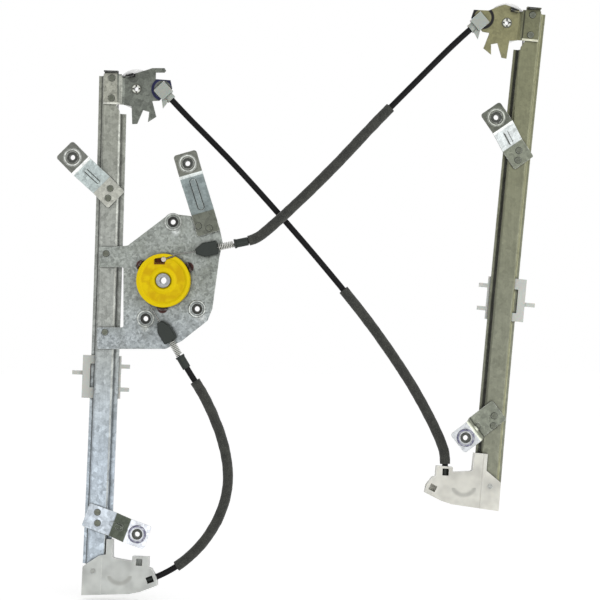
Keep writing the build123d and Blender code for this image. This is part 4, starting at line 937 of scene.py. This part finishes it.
class REGULATOR_OT_springs(Operator):
    """Wind the two tension springs between the cable guides and the caps"""

    bl_idname = "regulator.springs"
    bl_label = "Tension springs"

    def execute(self, context):
        wire = sizes().spring_wire / 2
        middle = sizes().spring_diameter / 2 - wire
        length = (SPRING_ENDS[0] - SPRING_ENDS[1]) * MM - 2 * (wire + SPRING_GAP)
        # Painted shade between the coils, at full strength.
        made = zinc_finish("spring wire", tone(206, 207, 200), crystal=900.0, contrast=0.2,
                           steep=0.0, corner_shade=1.0, edge_wear_and_light=0.0, reach=2.5)
        for node, conduit in SPRINGS.items():
            first, second = (Vector(p) * MM for p in ROUTES[conduit][:2])
            way = (second - first).normalized()
            deselect()
            bpy.ops.mesh.primitive_circle_add(vertices=8, radius=wire, location=(middle, 0.0, 0.0),
                                              rotation=(math.pi / 2, 0.0, 0.0))
            piece = context.object
            piece.name = f"{node}_wire"
            bpy.ops.object.transform_apply(location=True, rotation=True, scale=True)
            wind = piece.modifiers.new("wind", "SCREW")
            wind.axis = "Z"
            wind.steps = wind.render_steps = 24
            wind.iterations = sizes().spring_turns
            wind.screw_offset = length / sizes().spring_turns
            wind.use_merge_vertices = False
            bpy.ops.object.modifier_apply(modifier=wind.name)
            piece.rotation_euler = way.to_track_quat("Z", "Y").to_euler()
            piece.location = first - way * (SPRING_ENDS[0] * MM - wire - SPRING_GAP)
            bpy.ops.object.transform_apply(location=True, rotation=True, scale=True)
            bpy.ops.object.mode_set(mode="EDIT")
            bpy.ops.mesh.select_all(action="SELECT")
            bpy.ops.mesh.fill_holes(sides=8)
            bpy.ops.mesh.normals_make_consistent(inside=False)
            bpy.ops.object.mode_set(mode="OBJECT")
            bpy.ops.object.shade_smooth_by_angle(angle=math.radians(60))
            piece.data.materials.append(made)
            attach(piece, "frame")
            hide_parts(node)
        return {"FINISHED"}


class REGULATOR_OT_sleeves(Operator):
    """Lay the foam sleeves round their conduits"""

    bl_idname = "regulator.sleeves"
    bl_label = "Foam sleeves"

    def execute(self, context):
        made = foam_finish()
        for name, conduit in SLEEVES.items():
            line = centreline(conduit)
            nearest = [min(range(len(line)), key=lambda i: (line[i] - v.co).length)
                       for v in NODES[name].data.vertices]
            run = line[min(nearest):max(nearest) + 1]
            curve = bpy.data.curves.new(name, "CURVE")
            curve.dimensions = "3D"
            curve.bevel_depth = sizes().sleeve_diameter / 2 - FOAM_SINK
            curve.bevel_resolution = sizes().sleeve_sides // 4
            curve.use_fill_caps = True
            spline = curve.splines.new("POLY")
            spline.points.add(len(run) - 1)
            for target, point in zip(spline.points, run):
                target.co = (*point, 1.0)
            piece = bpy.data.objects.new(f"{name}_foam", curve)
            context.collection.objects.link(piece)
            deselect()
            piece.select_set(True)
            context.view_layer.objects.active = piece
            bpy.ops.object.convert(target="MESH")
            piece = context.object
            bpy.ops.object.mode_set(mode="EDIT")
            bpy.ops.mesh.select_all(action="SELECT")
            bpy.ops.mesh.remove_doubles(threshold=0.01 * MM)
            bpy.ops.mesh.normals_make_consistent(inside=False)
            bpy.ops.object.mode_set(mode="OBJECT")
            lumps = bpy.data.textures.new(f"{name} lumps", "CLOUDS")
            lumps.noise_scale = LUMP_SIZE
            swell = piece.modifiers.new("lumps", "DISPLACE")
            swell.texture = lumps
            swell.texture_coords = "LOCAL"
            swell.strength = LUMP_HEIGHT
            swell.mid_level = 0.5
            bpy.ops.object.modifier_apply(modifier=swell.name)
            bpy.ops.object.shade_smooth_by_angle(angle=math.radians(50))
            piece.data.materials.append(made)
            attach(piece, "frame")
            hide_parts(name)
        return {"FINISHED"}


class REGULATOR_OT_conduits(Operator):
    """Lay the three black conduits along their routes"""

    bl_idname = "regulator.conduits"
    bl_label = "Conduits"

    def execute(self, context):
        skin = plastic_finish("conduit skin", tone(10, 10, 11), roughness=0.45, bump=0.15,
                              drift=0.3, grain=900.0, Specular_IOR_Level=0.14)
        for name in ROUTES:
            curve = conduit_curve(name, sizes().conduit_diameter)
            piece = bpy.data.objects.new(f"{name}_skin", curve)
            context.collection.objects.link(piece)
            piece.data.materials.append(skin)
            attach(piece, "frame")
            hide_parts(name)
            line_length(centreline(name))
        return {"FINISHED"}


# Stage


def area_lamp(name, energy, size, place, aim):
    lamp = bpy.data.lights.new(name, "AREA")
    lamp.shape = "RECTANGLE"
    lamp.size, lamp.size_y = size
    lamp.energy = energy
    holder = bpy.data.objects.new(name, lamp)
    holder.location = place
    direction = Vector(aim) - Vector(place)
    holder.rotation_euler = direction.to_track_quat("-Z", "Y").to_euler()
    bpy.context.collection.objects.link(holder)


def seen_rays(tree):
    """1 for rays that show the background: straight from the camera, mirrored or passed on."""
    rays = add_node(tree, "ShaderNodeLightPath")
    seen = math_node(tree, "MAXIMUM", rays.outputs["Is Camera Ray"], rays.outputs["Is Glossy Ray"])
    return math_node(tree, "MAXIMUM", seen, rays.outputs["Is Transmission Ray"])


def show_when_seen(tree, lit, seen, output):
    """Use one shader for the rays that light the pieces, another where the background shows."""
    pick = add_node(tree, "ShaderNodeMixShader")
    join(tree, seen_rays(tree), pick.inputs[0])
    join(tree, lit.outputs[0], pick.inputs[1])
    join(tree, seen.outputs[0], pick.inputs[2])
    join(tree, pick.outputs[0], tree.nodes[output].inputs["Surface"])


class REGULATOR_OT_stage(Operator):
    """Set the camera, the lamps, the floor and the backdrop"""

    bl_idname = "regulator.stage"
    bl_label = "Stage"

    def execute(self, context):
        scene = context.scene
        scene.view_settings.view_transform = "Standard"
        lens = bpy.data.cameras.new("camera")
        lens.sensor_width = SENSOR_WIDTH
        lens.lens = SENSOR_WIDTH * sizes().view_distance / sizes().view_width
        camera = bpy.data.objects.new("camera", lens)
        camera.location = (VIEW_MIDDLE[0], -sizes().view_distance, VIEW_MIDDLE[1])
        camera.rotation_euler = (math.pi / 2, 0.0, 0.0)
        context.collection.objects.link(camera)
        scene.camera = camera

        world = bpy.data.worlds.new("studio")
        scene.world = world
        world.use_nodes = True
        tree = world.node_tree
        sky = tree.nodes["Background"]
        sky.inputs["Color"].default_value = WHITE
        sky.inputs["Strength"].default_value = SKY_LIGHT
        plain = add_node(tree, "ShaderNodeBackground", Color=WHITE, Strength=SKY_SEEN)
        show_when_seen(tree, sky, plain, "World Output")

        low = CAD_BOX[0][2] - FLOOR_GAP
        deselect()
        bpy.ops.mesh.primitive_plane_add(size=1.0, location=(FLOOR_MIDDLE, 0.0, low))
        floor = context.object
        floor.name = "floor"
        floor.scale = (FLOOR_SIDE, FLOOR_SIDE, 1.0)
        bpy.ops.object.transform_apply(location=True, rotation=True, scale=True)
        paint = bpy.data.materials.new("pale paper")
        paint.use_nodes = True
        tree = paint.node_tree
        shader = tree.nodes["Principled BSDF"]
        shader.inputs["Base Color"].default_value = (0.9, 0.9, 0.9, 1.0)
        shader.inputs["Roughness"].default_value = 0.9
        glow = add_node(tree, "ShaderNodeEmission", Color=WHITE, Strength=FLOOR_GLOW)
        both = add_node(tree, "ShaderNodeAddShader")
        join(tree, shader.outputs[0], both.inputs[0])
        join(tree, glow.outputs[0], both.inputs[1])
        show_when_seen(tree, shader, both, "Material Output")
        floor.data.materials.append(paint)

        for name, lamp in LAMPS.items():
            area_lamp(name, *lamp)
        return {"FINISHED"}


STEPS = (
    REGULATOR_OT_stage,
    REGULATOR_OT_node_groups,
    REGULATOR_OT_sleeves,
    REGULATOR_OT_conduits,
    REGULATOR_OT_springs,
    REGULATOR_OT_sheet_metal,
    REGULATOR_OT_fasteners,
    REGULATOR_OT_cable_metal,
    REGULATOR_OT_plastics,
)


class REGULATOR_PT_panel(Panel):
    """Steps and settings of the regulator"""

    bl_idname = "REGULATOR_PT_panel"
    bl_label = "Window regulator"
    bl_space_type = "VIEW_3D"
    bl_region_type = "UI"
    bl_category = "Regulator"

    def draw(self, context):
        for step in STEPS:
            self.layout.operator(step.bl_idname)
        for group in (context.scene.regulator_sizes, context.scene.regulator_finish):
            for name in group.bl_rna.properties.keys():
                if name not in ("rna_type", "name"):
                    self.layout.prop(group, name)


CLASSES = (RegulatorFinish, RegulatorSizes) + STEPS + (REGULATOR_PT_panel,)


def register():
    for kind in CLASSES:
        bpy.utils.register_class(kind)
    bpy.types.Scene.regulator_finish = bpy.props.PointerProperty(type=RegulatorFinish)
    bpy.types.Scene.regulator_sizes = bpy.props.PointerProperty(type=RegulatorSizes)


def unregister():
    del bpy.types.Scene.regulator_sizes
    del bpy.types.Scene.regulator_finish
    for kind in reversed(CLASSES):
        bpy.utils.unregister_class(kind)


def main():
    register()
    for step in STEPS:
        group, name = step.bl_idname.split(".")
        getattr(getattr(bpy.ops, group), name)()


if __name__ == "__main__":
    main()
